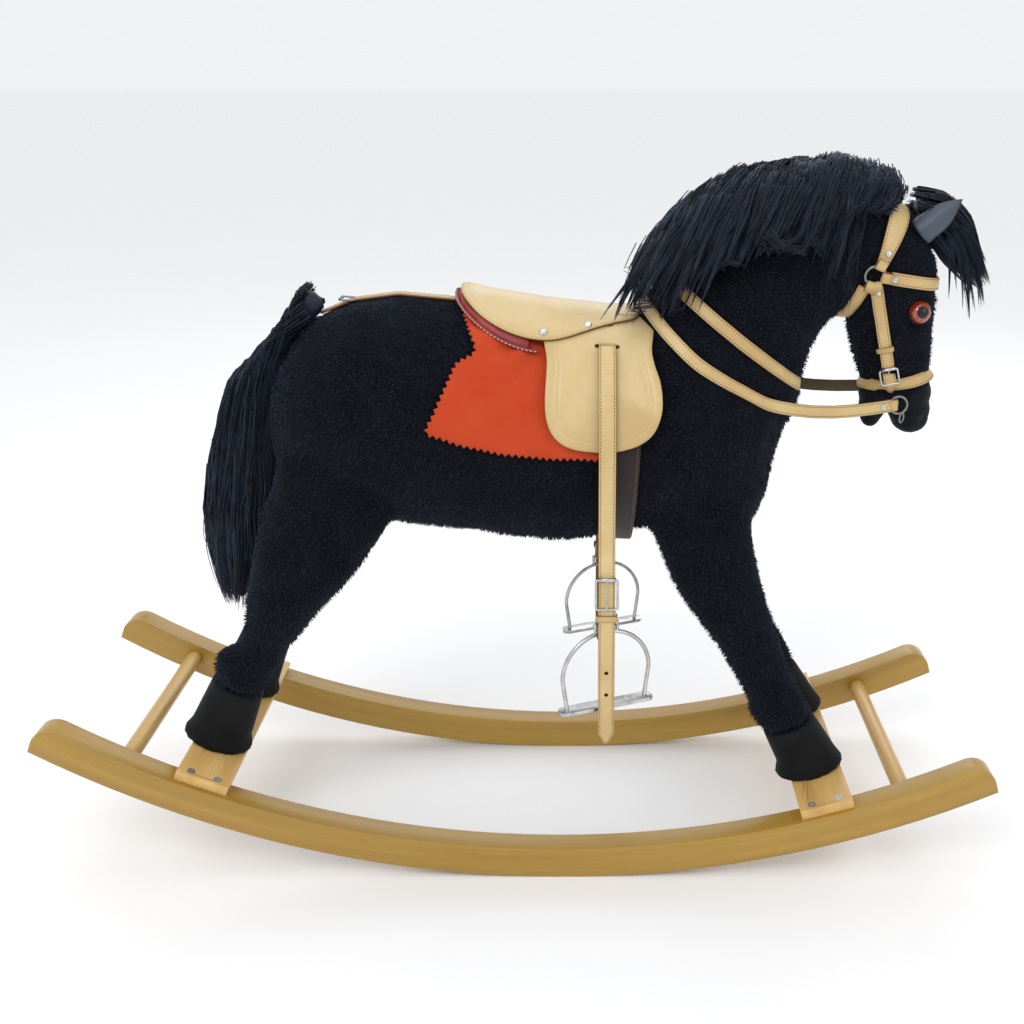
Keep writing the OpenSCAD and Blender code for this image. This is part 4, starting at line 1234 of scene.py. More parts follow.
def flap(side, name):
    """A saddle flap with two lines tooled round its edge and the stirrup slot."""
    outline = [(x, round_coord(x, z, SEAT_LOW - 2)) for x, z in FLAP]
    edge = smooth_outline(outline, 2.0)

    def relief(u, v, d):
        lines = -0.55 * math.exp(-((d - 9) / 0.55) ** 2) - 0.5 * math.exp(-((d - 13.5) / 0.55) ** 2)
        low = 1 / (1 + math.exp(-(v - 84) / 4))
        return lines * low - 0.8 * math.exp(-d / 0.9) + 0.25 * noise.noise(Vector((u * 0.04, v * 0.04, side)))

    def place(u, v):
        lift = 1.6 * max(0.0, (v - 150) / 60) ** 2
        return on_torso(u, side * math.radians(v / ROUND), SEAT_LOW - 3.6 + lift)

    obj = plate(name + "_flap_leather", edge, 2.6, place, 3.0, "base",
                [MAT["saddle"], MAT["cut"], MAT["flesh"]], (0.8, 8.4, 9, 9.6, 12.9, 13.5, 14.1), relief)
    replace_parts(obj, name + "_flap")
    slot_lip(side, name)
    return obj


def slot_lip(side, name):
    """The slot that the stirrup leather comes out of, with its pressed rim and a black plug of painted shade
    inside.
    """
    turn = math.degrees(SLOT_TURN) * ROUND
    half, r, points, normals = LEATHER_W / 2 + 1.5, 2.1, [], []
    for k in range(40):
        a = 2 * math.pi * k / 40
        u = SLOT_X + (half if math.cos(a) > 0 else -half) + r * math.cos(a)
        v = turn + r * math.sin(a) + 0.6
        p, n = on_torso(u, side * math.radians(v / ROUND), SEAT_LOW - 0.4)
        points.append(p)
        normals.append(n)
    tube(name + "_slot_rim", points, 0.7, "base", MAT["cut"], True, 8)
    # a black plug sunk in the slot: painted shade for the dark gap
    n = sum(normals, Vector()).normalized()
    verts = [p + n * 0.1 * MM for p in points] + [p - n * 2.4 * MM for p in points]
    count = len(points)
    faces = [tuple(range(count)), tuple(reversed(range(count, 2 * count)))]
    faces += [(k, k + count, (k + 1) % count + count, (k + 1) % count) for k in range(count)]
    new_object(name + "_slot_dark", verts, faces, "base", [MAT["pupil"]], None, False)


def domed_rivet(name, centre, axis, r=4.2, body="base"):
    """A low domed rivet head."""
    profile = [(r * 0.92, -0.8), (r, 0.15), (r * 0.97, 0.55), (r * 0.78, 1.0), (r * 0.45, 1.32), (0.02, 1.42)]
    return lathe(name, centre, axis, profile, body, MAT["plated"], 24)


def saddle_rivets():
    """Three dome rivets on each side of the seat."""
    k = 0
    for x, y in ((-68, 22), (10, 70), (56, 54)):
        for side in (-1, 1):
            rise = SEAT_LOW + SEAT_T
            p, n = on_torso(x, angle_at_side(x, side * y, rise), rise)
            domed_rivet("seat_rivet_%d" % k, p, n, 4.4)
            k += 1


# ---------- straps that lie on the plush ----------
def wrapped(skin, p, q, start, end, count, at=None, lift=0.6):
    """A path round the body in the upright plane through p and q. Turns run from the q side: 90 is right."""
    d = (Vector((q[0], 0, q[1])) - Vector((p[0], 0, p[1]))).normalized()
    at = p if at is None else at
    origin = leaned(at[0], 0, at[1])
    ahead = turned(d.x, 0, d.z)
    points, normals = [], []
    for i in range(count):
        a = math.radians(start + (end - start) * i / (count - 1))
        ray = ahead * math.cos(a) - Vector((0, 1, 0)) * math.sin(a)
        hit, n, _, _ = skin.ray_cast(origin, ray, 0.4)
        if hit is None:
            continue
        points.append(hit)
        normals.append(n)
    points, normals = relaxed(points), relaxed(normals, 4)
    return [Vector(a) + Vector(b) * lift * MM for a, b in zip(points, normals)], normals


def relaxed(rows, times=2):
    """A path with its small jitters averaged out, its ends kept."""
    r = np.array(rows, float)
    for _ in range(times):
        r[1:-1] = (r[:-2] + 2 * r[1:-1] + r[2:]) / 4
    return r


def stitched_strap(name, points, normals, widths, body="base", mats=None, step=2.6):
    """A strap with brown thread along both of its edges. widths are spaced evenly along it."""
    flat = np.atleast_1d(np.array(widths, float))
    even, up = resample(points, normals, step * MM)
    place = np.linspace(0, 1, len(even))
    wide = np.interp(place, np.linspace(0, 1, len(flat)), flat)
    obj = strap(name, even, up, wide, STRAP_T, body, mats or [MAT["tan"], MAT["cut"]])
    lines = [beside(even, up, s * (wide / 2 - STITCH_IN), STRAP_T + 0.1) for s in (-1, 1)]
    stitching(name + "_thread", lines, body, MAT["brown_thread"])
    return obj


def buckle(name, centre, right, up, w, h, body, mat="plated", wire=1.25):
    """A square wire buckle with a roller on its top bar and a tongue."""
    out = Vector(right).cross(Vector(up)).normalized()
    right, up = Vector(right).normalized(), Vector(up).normalized()
    loop = rounded_loop(centre, right, up, w, h, 2.6)
    obj = tube(name, loop, wire, body, MAT[mat], True)
    top, low = Vector(centre) + up * h / 2 * MM, Vector(centre) - up * h / 2 * MM
    prong = [top + out * 1.2 * MM, top * 0.6 + low * 0.4 + out * 2.2 * MM, low + out * 1.5 * MM]
    tube(name + "_tongue", smooth_path(prong, 8), 0.85, body, MAT[mat])
    roll = [Vector(centre) + up * h / 2 * MM + right * s * w * 0.42 * MM for s in (-1, 0, 1)]
    tube(name + "_roller", roll, wire * 1.7, body, MAT[mat])
    return obj


def smooth_path(points, cuts):
    """A Catmull-Rom curve through an open list of points in space."""
    p = [Vector(x) for x in points]
    out = []
    for i in range(len(p) - 1):
        a, b, c, d = p[max(i - 1, 0)], p[i], p[i + 1], p[min(i + 2, len(p) - 1)]
        out += [catmull(a, b, c, d, k / cuts) for k in range(cuts)]
    return out + [p[-1]]


def girth():
    """Dark red webbing round the belly, from flap to flap."""
    points, normals = [], []
    for i in range(90):
        p, n = on_torso(97.5, math.radians(42 + 276 * i / 89), 3.2)
        points.append(p)
        normals.append(n)
    obj = strap("girth_web", points, normals, 38, 2.1, "base", [MAT["girth"], MAT["girth"]])
    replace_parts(obj, "girth")
    lines = [beside(points, normals, s * 16, 2.2) for s in (-1, 1)]
    stitching("girth_thread", lines, "base", MAT["cut"], 3.2, 2.4, 0.4)


def crupper():
    """The strap along the back to the tail, with its buckle sunk in the pile."""
    points, normals = [], []
    for i in range(60):
        x = -78 - 156 * i / 59
        p, n = on_torso(x, 0, -1.6)
        points.append(p)
        normals.append(n)
    obj = stitched_strap("crupper_leather", points, normals, BRIDLE_W)
    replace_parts(obj, "crupper_strap")
    p, n = on_torso(-205.5, 0, 2.8)
    along = turned(-1, 0, 0.03)
    made = buckle("crupper_frame", p, (0, 1, 0), along, 20, 15, "base", "dull", 1.0)
    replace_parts(made, "crupper_buckle")


# ---------- bridle, neck strap and reins ----------
def both_sides(make):
    """Makes a piece for the right side and for the left."""
    for side, name in ((1, "right"), (-1, "left")):
        make(side, name)


def bridle(skin):
    """The bands round the head, then the cheekpieces, rings and rivets."""
    crown = wrapped(skin, (357, 704), (388, 800), 91, -91, 70, (358, 706))
    obj = stitched_strap("crown_band", *crown, [12, 18, 23, 24, 24, 24, 23, 18, 12])
    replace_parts(obj, "crown_strap")
    brow = wrapped(skin, (364, 692), (460, 678), 84, -84, 60)
    obj = stitched_strap("brow_band", *brow, BRIDLE_W)
    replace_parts(obj, "browband")
    throat = wrapped(skin, (346, 685), (320, 606), 84, -84, 60)
    obj = stitched_strap("throat_strap", *throat, BRIDLE_W)
    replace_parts(obj, "throatlatch")
    nose = wrapped(skin, (330, 562), (470, 591), 180, -180, 90, (400, 576.5), 0.9)
    obj = stitched_strap("nose_band", *nose, BRIDLE_W)
    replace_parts(obj, "noseband")
    both_sides(lambda side, name: cheekpiece(skin, side, name))
    both_sides(lambda side, name: temple_ring(skin, side, name))
    both_sides(lambda side, name: bit_ring(skin, side, name))
    rivets_on_bridle(skin)


def side_hit(skin, x, z, side, lift):
    """The point on the skin beside (x, z), lifted off it, and its normal. Right side is 1."""
    start = leaned(x, 0, z)
    hit, n, _, _ = skin.ray_cast(start, Vector((0, -side, 0)), 0.3)
    if hit is None:
        hit, n = start + Vector((0, -side * 0.045, 0)), Vector((0, -side, 0))
    return hit + n * lift * MM, n


def side_path(skin, line, side, lift):
    """A line drawn on the side of the head, laid on the skin: points and normals."""
    even = smooth_outline(line, 2.0, False)
    rows = [side_hit(skin, x, z, side, lift) for x, z in even]
    points = relaxed([r[0] for r in rows], 3)
    normals = relaxed([r[1] for r in rows], 8)
    return [Vector(p) for p in points], [Vector(n) for n in normals]


def cheekpiece(skin, side, name):
    """From the temple ring down to the noseband, its lower end through a square buckle."""
    line = [(356, 682), (366, 650), (377, 615), (387, 583), (392, 566)]
    points, normals = side_path(skin, line, side, 0.9)
    normals = [(n + Vector((0, -side, 0))).normalized() for n in normals]
    over = [0.0] * len(points)
    for i in range(len(points)):
        z = i / (len(points) - 1)
        over[i] = 2.7 / (1 + math.exp(-(z - 0.80) / 0.02))
    points = [p + n * o * MM for p, n, o in zip(points, normals, over)]
    obj = stitched_strap(name + "_cheek_strap", points, normals, pointed(BRIDLE_W, 300, 26))
    if name == "right":
        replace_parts(obj, "cheekpieces")
    at, n = side_hit(skin, 388, 581, side, 6.6)
    along = turned(0.30, 0, -0.95)
    right = along.cross(n).normalized()
    buckle(name + "_cheek_buckle", at, right, -along, 19, 17, "base", "plated", 1.15)
    keeper(name + "_cheek_keeper", skin, (377, 614), along, side, 15.6)


def pointed(width, count, last):
    """Strap widths, even along it, that come to a point over the last few."""
    return [width] * (count - last) + [width * (1 - (i + 1) / last) ** 0.8 + 1.2 for i in range(last)]


def keeper(name, skin, at, along, side, width):
    """A narrow leather loop across a strap."""
    mid, n = side_hit(skin, at[0], at[1], side, 0)
    across = along.cross(n).normalized()
    rows = []
    for x, up in ((-0.5, 0.2), (-0.5, 3.4), (-0.42, 4.1), (0, 4.3), (0.42, 4.1), (0.5, 3.4), (0.5, 0.2)):
        lean = 0.9 * x if abs(x) > 0.4 else 0
        rows.append((mid + across * x * width * MM + n * up * MM, n + across * lean))
    strap(name, [r[0] for r in rows], [r[1] for r in rows], 6, 1.4, "base",
          [MAT["tan"], MAT["cut"]])


def ring_at(name, centre, axis, r, wire):
    """A dull steel ring of a wire's thickness about an axis."""
    loop = [Vector(centre) + v * r * MM for v in circle_about(axis, 40)]
    return tube(name, loop, wire / 2, "base", MAT["dull"], True)


def temple_ring(skin, side, name):
    """The dark ring that the crown, brow, throat and cheek straps all loop over."""
    at, n = side_hit(skin, 352.5, 693.5, side, 3.4)
    obj = ring_at(name + "_temple_ring", at, n, 10.4, 3.0)
    if name == "right":
        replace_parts(obj, "bridle_rings")
    for k, (dx, dz) in enumerate(((0.36, 0.93), (1.0, -0.12), (-0.25, -0.97), (0.28, -0.96))):
        end_loop("%s_temple_loop_%d" % (name, k), at, n, turned(dx, 0, dz), 10.4, 11.2)


def end_loop(name, centre, n, way, r, width):
    """The folded end of a strap round the wire of a ring."""
    way = (way - n * way.dot(n)).normalized()
    mid = Vector(centre) + way * r * MM
    points, normals = [], []
    for i in range(15):
        a = math.radians(-20 + 220 * i / 14)
        out = n * math.cos(a) - way * math.sin(a)
        points.append(mid + out * 1.7 * MM)
        normals.append(out)
    tip = mid + way * 8 * MM
    points = [tip + n * 1.2 * MM] + points + [tip - n * 2.6 * MM]
    normals = [n] + normals + [-n]
    strap(name, points, normals, width, 2.0, "base", [MAT["tan"], MAT["cut"]])


def bit_ring(skin, side, name):
    """The ring under the noseband that the rein hangs on, and the links that tie it to the cheek."""
    at = side_hit(skin, 397, 561, side, 4.0)[0]
    centre = leaned(399, -side * 40.5, 554)
    ring_at(name + "_bit_ring", centre, Vector((0.1, -side, 0.1)), 9.4, 2.6)
    ring_at(name + "_bit_link", (at + centre) / 2, Vector((0.9, 0.1, 0.3)), 5.0, 2.0)
    ring_at(name + "_bit_drop", leaned(404, -side * 40.5, 540), Vector((0.75, -side * 0.6, 0)), 5.2, 2.0)


def rivets_on_bridle(skin):
    """Dome rivets where the bands meet, on both sides."""
    k = 0
    for side in (1, -1):
        for x, z in ((362, 716), (373, 690), (359, 676)):
            at, n = side_hit(skin, x, z, side, 4.6)
            domed_rivet("bridle_rivet_%d" % k, at, n, 3.5)
            k += 1


def neck_strap(skin):
    """The strap round the base of the neck."""
    points, normals = wrapped(skin, (90, 712), (340, 533), 180, -180, 130, (214, 623), 0.9)
    obj = stitched_strap("neck_strap_leather", points, normals, NECK_STRAP_W)
    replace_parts(obj, "neck_strap")


def sagged(skin, points, low, high, amount, lift):
    """A strap's path let down over the skin, most at the middle of the heights given."""
    moved, normals = [], []
    for p in points:
        u = min(1, max(0, (p.z - low) / (high - low)))
        q = p + Vector((-0.6, 0, -0.8)) * amount * MM * math.sin(math.pi * u)
        near, n, _, _ = skin.find_nearest(q)
        moved.append(near)
        normals.append(n)
    moved, normals = relaxed(moved), relaxed(normals, 4)
    return [Vector(a) + Vector(b) * lift * MM for a, b in zip(moved, normals)], normals


def reins(skin):
    """One long strap: from the near bit ring along the neck, over the withers and back on the far side."""
    points, normals = wrapped(skin, (262, 549), (96, 670), 140, -140, 120, (179, 610), 1.0)
    points, normals = sagged(skin, points, leaned(262, 0, 549).z, leaned(96, 0, 670).z, 14, 1.0)
    near, far = ([leaned(x, -side * y, z) for x, y, z in REIN] for side in (1, -1))
    points = near[::-1] + points + far
    normals = [Vector((0.1, -1, 0.12))] * len(REIN) + [Vector(n) for n in normals]
    normals += [Vector((0.1, 1, 0.12))] * len(REIN)
    points, normals = relaxed(points, 3), relaxed(normals, 6)
    obj = stitched_strap("rein_leather", points, normals, NECK_STRAP_W, mats=[MAT["tan"], MAT["flesh"]])
    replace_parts(obj, "reins")
    for side, name in ((1, "right"), (-1, "left")):
        end = leaned(394, -side * 43, 554.5)
        out = Vector((0.12, -side, 0.05)).normalized()
        domed_rivet(name + "_rein_rivet", leaned(381, -side * (46.4 + STRAP_T), 552.6), out, 3.6)
        end_loop(name + "_rein_end", end, out, turned(-1, 0, -0.15), 0.5, 12.4)


# ---------- stirrups ----------
def leather_paths(side, eye_z):
    """The under faces of the two layers of a stirrup leather, and their normals."""
    zc, w, h = station(TORSO, SLOT_X)
    slot_rise = SEAT_LOW + 1.5
    off = slot_rise - STRAP_T / 2 + 2
    slot = leaned(SLOT_X, 0, zc + (h + slot_rise) * math.cos(SLOT_TURN)) / MM
    centre_z = leaned(SLOT_X, 0, zc).z / MM
    hang_y = w + off
    eye_y = hang_y + STRAP_T + 2.6
    tail_y, low_y = eye_y + 8.5, eye_y + 16.5
    top = eye_z + BUCKLE_UP + 20
    back, front = [], []
    start = math.degrees(SLOT_TURN) + 2
    for i in range(12):
        a = math.radians(start + (90 - start) * i / 11)
        n = (math.sin(a) * (h + off), math.cos(a) * (w + off))
        back.append((((w + off) * math.sin(a)), centre_z + (h + off) * math.cos(a), *n))
        wide = off + STRAP_T
        front.append(((w + wide) * math.sin(a), centre_z + (h + wide) * math.cos(a), *n))
    back += [(hang_y, z, 1, 0) for z in np.linspace(centre_z - 12, eye_z + 30, 14)]
    back += [(hang_y, z, 1, 0) for z in np.linspace(eye_z + 26, eye_z + 2, 12)]
    for i in range(13):
        a = math.radians(180 + 15 * i)
        back.append((eye_y + EYE_R * math.cos(a), eye_z + EYE_R * math.sin(a), -math.cos(a), -math.sin(a)))
    back += [(eye_y + EYE_R, z, -1, 0) for z in np.linspace(eye_z + 2, eye_z + 26, 12)]
    front += [(hang_y + STRAP_T, z, 1, 0) for z in np.linspace(centre_z - 12, top + 22, 12)]
    front += [(hang_y + STRAP_T + 0.6, top + 12, 1, 0.15), (tail_y - 3, top - 4, 1, 0.35),
              (tail_y - 0.4, top - 14, 1, 0.1)]
    front += [(tail_y + SPARE_OUT * t, top - 20 - t * SPARE_LONG, 1, 0.05) for t in np.linspace(0, 1, 18)]
    front += [(low_y, z, 1, 0) for z in np.linspace(eye_z - IRON_DROP - 4, eye_z - 140, 7)]

    def lifted(rows):
        points, normals = [], []
        for y, z, ny, nz in rows:
            p, n = Vector((0, -side * (y - eye_y), z)), Vector((0, -side * ny, nz))
            turn = IRON_YAW * min(1, max(0, (eye_z + 24 - z) / 17)) if rows is back else 0
            spin = Matrix.Rotation(turn, 3, "Z")
            points.append((spin @ p + Vector((slot.x, -side * eye_y, 0))) * MM)
            normals.append((spin @ n).normalized())
        return points, normals
    return lifted(back), lifted(front), slot.x, tail_y


def stirrup(side, name):
    """The doubled leather, its buckle, its holes, and the iron."""
    eye_z = EYE_Z[name]
    body = name + "_stirrup_leather"
    back, front, x, tail_y = leather_paths(side, eye_z)
    stitched_strap(name + "_leather_loop", *back, LEATHER_W, body)
    obj = stitched_strap(name + "_leather_front", *front, pointed(LEATHER_W, 320, 11), body, step=1.6)
    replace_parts(obj, name + "_leather")
    out = Vector((0, -side, 0))
    centre = Vector((x, -side * (tail_y + STRAP_T + 2.2), eye_z + 40)) * MM
    frame_obj = buckle(name + "_stirrup_buckle", centre, Vector((side, 0, 0)), (0, side * 0.052, 1), 23, 34,
                       body, wire=1.35)
    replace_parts(frame_obj, name + "_buckle")
    for k, z in enumerate((-52, -78)):
        spread = SPARE_OUT * (BUCKLE_UP - z) / SPARE_LONG
        at = Vector((x, -side * (tail_y + spread + STRAP_T + 0.14), eye_z + z)) * MM
        # each hole is a black disc of painted shade under a lip of cut edge
        lathe("%s_leather_hole_%d" % (name, k), at, out, [(1.9, -0.6), (1.9, 0.12)], body,
              MAT["pupil"], 16)
        lathe("%s_hole_lip_%d" % (name, k), at - out * 0.05 * MM, out,
              [(2.6, -0.5), (2.5, 0.05), (2.0, 0.1)], body, MAT["cut"], 16)
    loop_band(name, x, side, tail_y + 1.9, eye_z + 12, body)
    softened(name + "_iron", 0.0005, MAT["plated"], name + "_stirrup_iron")


def loop_band(name, x, side, tail_y, z, body):
    """The fixed keeper below the buckle, over the spare end."""
    rows = []
    for u, up in ((-0.5, -4), (-0.5, 2.4), (-0.45, 3.2), (0, 3.5), (0.45, 3.2), (0.5, 2.4), (0.5, -4)):
        p = Vector((x - side * u * 20.4, -side * (tail_y + up), z)) * MM
        lean = 1.0 if abs(u) == 0.5 else 0.25 if abs(u) > 0.4 else 0
        rows.append((p, Vector((-side * math.copysign(lean, u) if lean else 0, -side * (1.001 - lean), 0))))
    strap(name + "_leather_keeper", [r[0] for r in rows], [r[1] for r in rows], 7, 1.5, body,
          [MAT["tan"], MAT["cut"]])


# ---------- hair and pile ----------
def loft_points(table, s, theta, out=0.0, y0=0.0):
    """Points off a hair form: s runs over its stations, theta round each ring, out in millimetres."""
    k = np.arange(len(table))
    x, z, a, b, lean = (np.interp(s, k, table[:, i]) for i in range(5))
    lean = np.radians(lean)
    deep = (a + out) * np.cos(theta)
    px = x + deep * np.cos(lean)
    pz = z - deep * np.sin(lean)
    py = y0 + (b + out) * np.sin(theta)
    return [leaned(*row) for row in zip(np.atleast_1d(px), np.atleast_1d(py), np.atleast_1d(pz))]


def off_surface(tree, p, gap):
    """The point, moved out where it is nearer to a form than gap or within it."""
    near, n, _, _ = tree.find_nearest(p)
    if near is None:
        return p
    depth = (p - near).dot(n)
    return p + n * (gap - depth) if depth < gap else p


def combed(root, flow, count, step, trees, gap, sway, seed):
    """A guide hair from its root, combed along a flow and kept off the forms under it."""
    p, path = Vector(root), [Vector(root)]
    for k in range(count - 1):
        t = k / (count - 1)
        wave = noise.noise_vector(p * 14 + Vector((seed, 0, t))) * sway
        p = p + (flow(p, t) + wave).normalized() * step
        for tree in trees:
            p = off_surface(tree, p, gap * (1 - 0.5 * t))
        path.append(p.copy())
    return path


def lock(path, count, spread, rise, radius, points=9):
    """Strands about one guide. They start apart, run together and end at different lengths."""
    g = np.array(path, float)
    along = np.linspace(0, 1, len(g))
    t = np.gradient(g, axis=0)
    t /= np.linalg.norm(t, axis=1, keepdims=True) + 1e-9
    side = np.cross(t, (0.05, 0.08, 1.0))
    side /= np.linalg.norm(side, axis=1, keepdims=True) + 1e-9
    up = np.cross(side, t)
    out, sizes = [], []
    for _ in range(count):
        u, v = RNG.normal(0, 0.55), RNG.uniform(-0.2, 1)
        end = RNG.uniform(0.78, 1.0)
        at = np.linspace(0, end, points)
        gather = 1.0 - 0.80 * (at / end) ** 1.5
        wave = np.sin(at * RNG.uniform(4, 9) + RNG.uniform(0, 6)) * 0.12
        rows = []
        for axis in range(3):
            base = np.interp(at, along, g[:, axis])
            s = np.interp(at, along, side[:, axis])
            n = np.interp(at, along, up[:, axis])
            rows.append(base + (s * (u + wave) * spread + n * v * rise) * gather * MM)
        out.append(np.column_stack(rows))
        sizes.append(radius * MM * RNG.uniform(0.75, 1.25) * (1 - 0.82 * np.linspace(0, 1, points) ** 2))
    return out, sizes


def strands(name, locks):
    """All strands of many locks as one mesh of closed three-sided hairs."""
    paths = np.array([p for one in locks for p in one[0]])
    sizes = np.array([r for one in locks for r in one[1]])
    s, k = paths.shape[:2]
    t = np.gradient(paths, axis=1)
    t /= np.linalg.norm(t, axis=2, keepdims=True) + 1e-9
    a = np.cross(t, (0.31, 0.17, 0.93))
    a /= np.linalg.norm(a, axis=2, keepdims=True) + 1e-9
    b = np.cross(t, a)
    rings = []
    for i in range(3):
        w = 2 * math.pi * i / 3
        rings.append(paths + (a * math.cos(w) + b * math.sin(w)) * sizes[:, :, None])
    verts = np.stack(rings, axis=2).reshape(-1, 3)
    base = (np.arange(s) * k * 3)[:, None, None] + (np.arange(k - 1) * 3)[None, :, None]
    i = np.arange(3)[None, None, :]
    j = (np.arange(3)[None, None, :] + 1) % 3
    quads = np.stack([base + i, base + j, base + j + 3, base + i + 3], axis=-1).reshape(-1, 4)
    first = (np.arange(s) * k * 3)[:, None] + np.array([2, 1, 0])
    last = (np.arange(s) * k * 3 + (k - 1) * 3)[:, None] + np.array([0, 1, 2])
    faces = quads.tolist() + first.tolist() + last.tolist()
    return new_object(name, verts, faces, "base", [MAT["hair"]])


def hair_core(node, shrink, lump):
    """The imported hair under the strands, combed into low ridges."""
    obj = remeshed(copy_of(node + "_core", [node]), 0.005, 6)
    co, no = points_of(obj), normals_of(obj)
    for i, p in enumerate(co):
        ridge = noise.noise(Vector((p[0] * 22, p[1] * 60, p[2] * 22))) * lump
        co[i] = p + no[i] * (ridge - shrink) * MM
    put_points(obj, co)
    finished(obj, MAT["hair"], "base")
    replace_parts(obj, node)
    return obj


def mane(body_tree):
    """Locks that fall from the crest, long and clumped on the near side and short on the far one."""
    trees = [tree_of(hair_core("mane", 8.5, 4.0)), body_tree]
    near, far = [], []

    def fall(side):
        def flow(p, t):
            front = min(1, max(0, (p.x - 0.20) / 0.16))
            back = -0.46 + 0.20 * front
            down = -0.66 - 0.15 * front - 0.45 * t
            return Vector((back, side * (0.50 - 0.35 * t), down))
        return flow

    for g in range(380):
        s = RNG.uniform(1.3, 7.8)
        theta = math.radians(RNG.uniform(165, 300))
        root = loft_points(MANE, s, theta, RNG.uniform(-10, -6), -8)[0]
        low = max(0, (theta - math.radians(230)) / math.radians(70))
        clump = max(0, min(1, 0.5 + 0.9 * noise.noise(Vector((s * 2.6, theta * 1.5, 3.0)))))
        reach = (0.055 + 0.105 * clump ** 1.5) * (1 - 0.3 * low) * min(1, 0.5 + 0.13 * s)
        path = combed(root, fall(-1), 12, reach / 11, trees, 0.0015, 0.35, g)
        near.append(lock(path, 13, 6.5, 4.5, 0.62, 9))
    for g in range(120):
        s = RNG.uniform(1.3, 7.8)
        theta = math.radians(RNG.uniform(75, 172))
        root = loft_points(MANE, s, theta, RNG.uniform(-10, -6), -8)[0]
        path = combed(root, fall(1), 11, RNG.uniform(0.055, 0.09) / 10, trees, 0.0015, 0.35, g + 500)
        far.append(lock(path, 12, 6.5, 4.5, 0.62, 9))
    strands("mane_near", near)
    strands("mane_far", far)


def forelock(body_tree):
    """Locks that hang forward over the brow, and a few that lie down the forehead."""
    hair_core("forelock", 4.0, 2.0)
    locks = []
    for g in range(120):
        start = RNG.uniform(0.0, 2.2)
        end = min(5.0, start + RNG.uniform(1.8, 3.2))
        turn = math.radians(RNG.uniform(0, 360)) + np.linspace(0, RNG.uniform(-0.5, 0.5), 11)
        path = loft_points(FORELOCK, np.linspace(start, end, 11), turn, RNG.uniform(-3, 6))
        path = [off_surface(body_tree, p + noise.noise_vector(p * 13 + Vector((0, 0, g))) * 0.005, 0.001)
                for p in path]
        locks.append(lock(path, 11, 5.5, 3.5, 0.58, 9))
    for g in range(26):
        root = loft_points(FORELOCK, RNG.uniform(1.2, 2.8), math.radians(RNG.uniform(150, 330)), -2)[0]
        path = combed(root, lambda p, t: Vector((0.30 - 0.2 * t, -0.05, -1)), 10,
                      RNG.uniform(0.045, 0.08) / 9, [body_tree], 0.001, 0.25, g + 700)
        locks.append(lock(path, 10, 4.0, 3.0, 0.52, 9))
    strands("forelock_hair", locks)


def tail():
    """Long locks that follow the tail's form, some of them loose at its end."""
    hair_core("tail", 3.0, 4.5)
    locks = []
    for g in range(250):
        theta = math.radians(RNG.uniform(0, 360))
        start = RNG.uniform(0.8, 5.2)
        end = min(9.0, start + RNG.uniform(3.2, 6.0))
        if g % 5 == 0:
            start, end = RNG.uniform(4.5, 6.0), RNG.uniform(8.6, 9.0)
        s = np.linspace(start, end, 13)
        lift = RNG.uniform(-1.0, 5.0)
        turn = theta + math.radians(RNG.uniform(-14, 14)) * np.linspace(0, 1, 13) ** 1.5
        path = loft_points(TAIL, s, turn, lift)
        if end > 8.0:
            drop = RNG.uniform(0, 0.012)
            path = [p + Vector((0, 0, -drop * (k / 12) ** 3)) for k, p in enumerate(path)]
        path = [p + noise.noise_vector(p * 11 + Vector((0, 0, g))) * 0.006 * min(1, (start * 3 + k) / 12)
                for k, p in enumerate(path)]
        locks.append(lock(path, 14, 7.5, 4.5, 0.66, 10))
    half = len(locks) // 2
    strands("tail_inner", locks[:half])
    strands("tail_outer", locks[half:])


def surface_samples(obj, count):
    """Even random points on an object's skin, with their normals."""
    mesh = obj.data
    mesh.calc_loop_triangles()
    tri = np.empty(len(mesh.loop_triangles) * 3, int)
    mesh.loop_triangles.foreach_get("vertices", tri)
    tri = tri.reshape(-1, 3)
    co, no = points_of(obj), normals_of(obj)
    a, b, c = co[tri[:, 0]], co[tri[:, 1]], co[tri[:, 2]]
    area = np.linalg.norm(np.cross(b - a, c - a), axis=1)
    pick = RNG.choice(len(tri), count, p=area / area.sum())
    u, v = RNG.random(count), RNG.random(count)
    flip = u + v > 1
    u[flip], v[flip] = 1 - u[flip], 1 - v[flip]
    w = 1 - u - v
    p = a[pick] * w[:, None] + b[pick] * u[:, None] + c[pick] * v[:, None]
    n = no[tri[pick, 0]] * w[:, None] + no[tri[pick, 1]] * u[:, None] + no[tri[pick, 2]] * v[:, None]
    return p, n / np.linalg.norm(n, axis=1, keepdims=True)


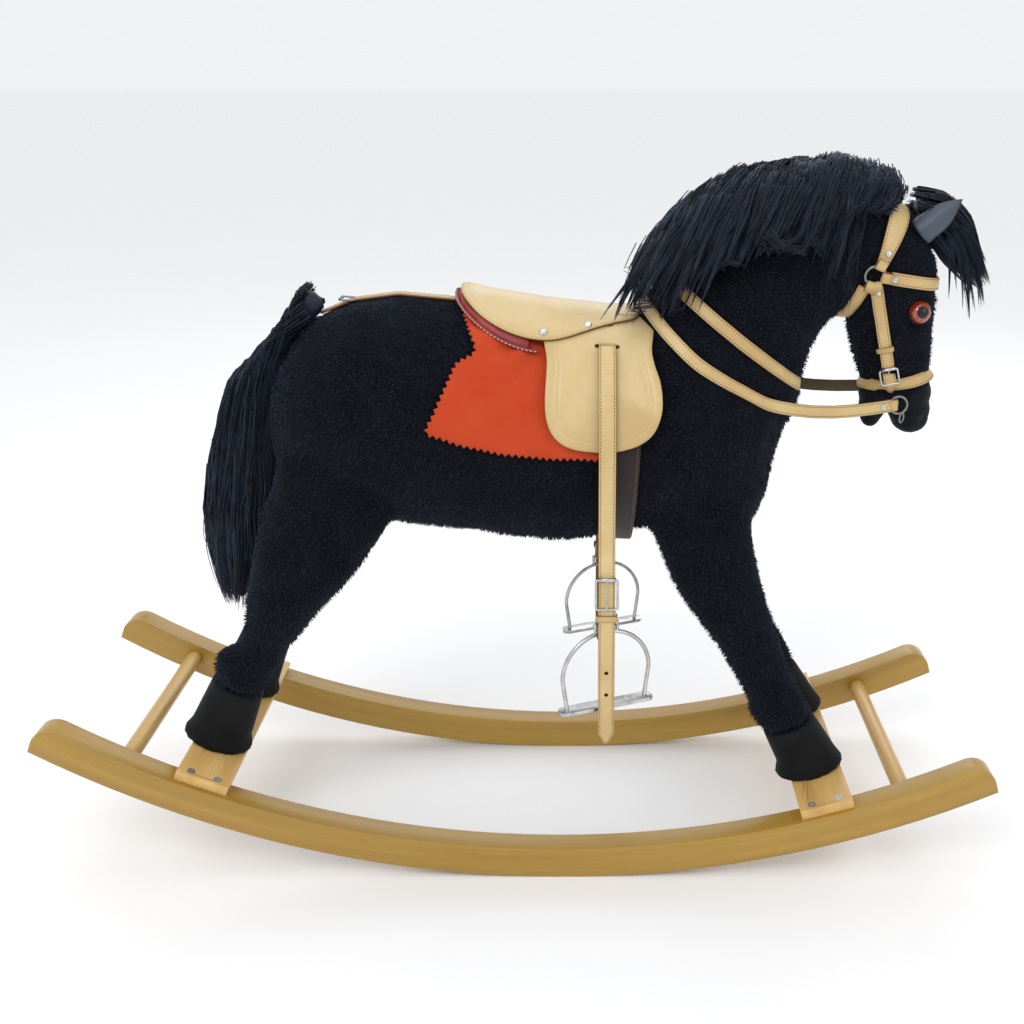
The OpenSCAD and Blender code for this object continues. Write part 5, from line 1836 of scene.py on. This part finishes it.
def pile(name, obj, count, cover, length=PILE):
    """Short tapered tufts of plush, combed back and down, left out where the tack and other pieces in cover
    lie on the skin.
    """
    p, n = surface_samples(obj, count)
    keep = np.ones(count, bool)
    comb = np.empty((count, 3))
    for i in range(count):
        at = Vector(p[i])
        near = cover.find_nearest(at, 0.004)[0]
        keep[i] = near is None
        comb[i] = noise.noise_vector(at * 26) * 0.8 + noise.noise_vector(at * 95) * 0.55
    p, n, comb = p[keep], n[keep], comb[keep]
    count = len(p)
    flow = np.array([-0.35, 0, -0.5])
    way = n * 0.75 + flow + comb + RNG.normal(0, 0.16, (count, 3))
    inward = np.minimum(0, (way * n).sum(1) - 0.28)
    way -= n * inward[:, None]
    way /= np.linalg.norm(way, axis=1, keepdims=True)
    side = np.cross(way, RNG.normal(0, 1, (count, 3)))
    side /= np.linalg.norm(side, axis=1, keepdims=True)
    other = np.cross(way, side)
    tall = RNG.uniform(0.65, 1.15, (count, 1)) * length * MM
    wide = RNG.uniform(0.5, 0.95, (count, 1)) * MM
    corners = [p - n * 0.6 * MM + (side * math.cos(w) + other * math.sin(w)) * wide
               for w in (0, 2 * math.pi / 3, 4 * math.pi / 3)]
    verts = np.stack(corners + [p + way * tall], axis=1).reshape(-1, 3)
    base = (np.arange(count) * 4)[:, None]
    shape = np.array([[0, 1, 3], [1, 2, 3], [2, 0, 3], [2, 1, 0]])
    faces = (base[:, :, None] + shape[None]).reshape(-1, 3)
    return new_object(name, verts, faces.tolist(), "base", [MAT["pile"]])


# ---------- wood and what stays CAD ----------
def woodwork():
    """The wood keeps its CAD form, with eased edges where it is seen."""
    for side in ("right", "left"):
        softened(side + "_rocker", 0.0018, MAT["bow"])
    for end in ("front", "rear"):
        softened(end + "_stretcher", 0.0008, MAT["dowel"])
        softened(end + "_plank", 0.0007, MAT["plank"], smooth=False)
    posts = [leg + "_post" for leg in LEGS]
    for node in posts + ["hip_crossbar", "shoulder_crossbar", "spine_board", "neck_post", "head_peg"]:
        painted(node, MAT["frame"])
    for node in ("plank_screws", "post_screws"):
        painted(node, MAT["zinc"])
    painted("stirrup_tabs", MAT["tan"])


def rivet_stand_in():
    """The saddle and bridle rivets are all new, so one of them stands for the CAD group."""
    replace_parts(bpy.data.objects["seat_rivet_0"], "tack_rivets")


# ---------- the whole ----------
camera()
floor()
lights()
woodwork()
body = stuffed_body()
nose = muzzle()
hooves()
skin = tree_of(body, nose)
ears()
eyes()
saddle_cloth()
seat_panel()
saddle_seat()
flap(1, "right")
flap(-1, "left")
saddle_rivets()
rivet_stand_in()
girth()
crupper()
bridle(skin)
neck_strap(skin)
reins(skin)
stirrup(1, "right")
stirrup(-1, "left")
mane(skin)
forelock(skin)
tail()
COVER = tree_of(*[o for o in bpy.data.objects if o.type == "MESH" and o.name in (
    "felt_cloth", "padded_panel", "seat_leather", "right_flap_leather", "left_flap_leather", "girth_web",
    "crupper_leather", "crown_band", "brow_band", "throat_strap", "nose_band", "neck_strap_leather",
    "rein_leather", "right_cheek_strap", "left_cheek_strap", "muzzle", "right_iris", "left_iris",
    *[leg + "_boot" for leg in LEGS])])
pile("plush_tufts_a", body, 46000, COVER)
pile("plush_tufts_b", body, 46000, COVER)
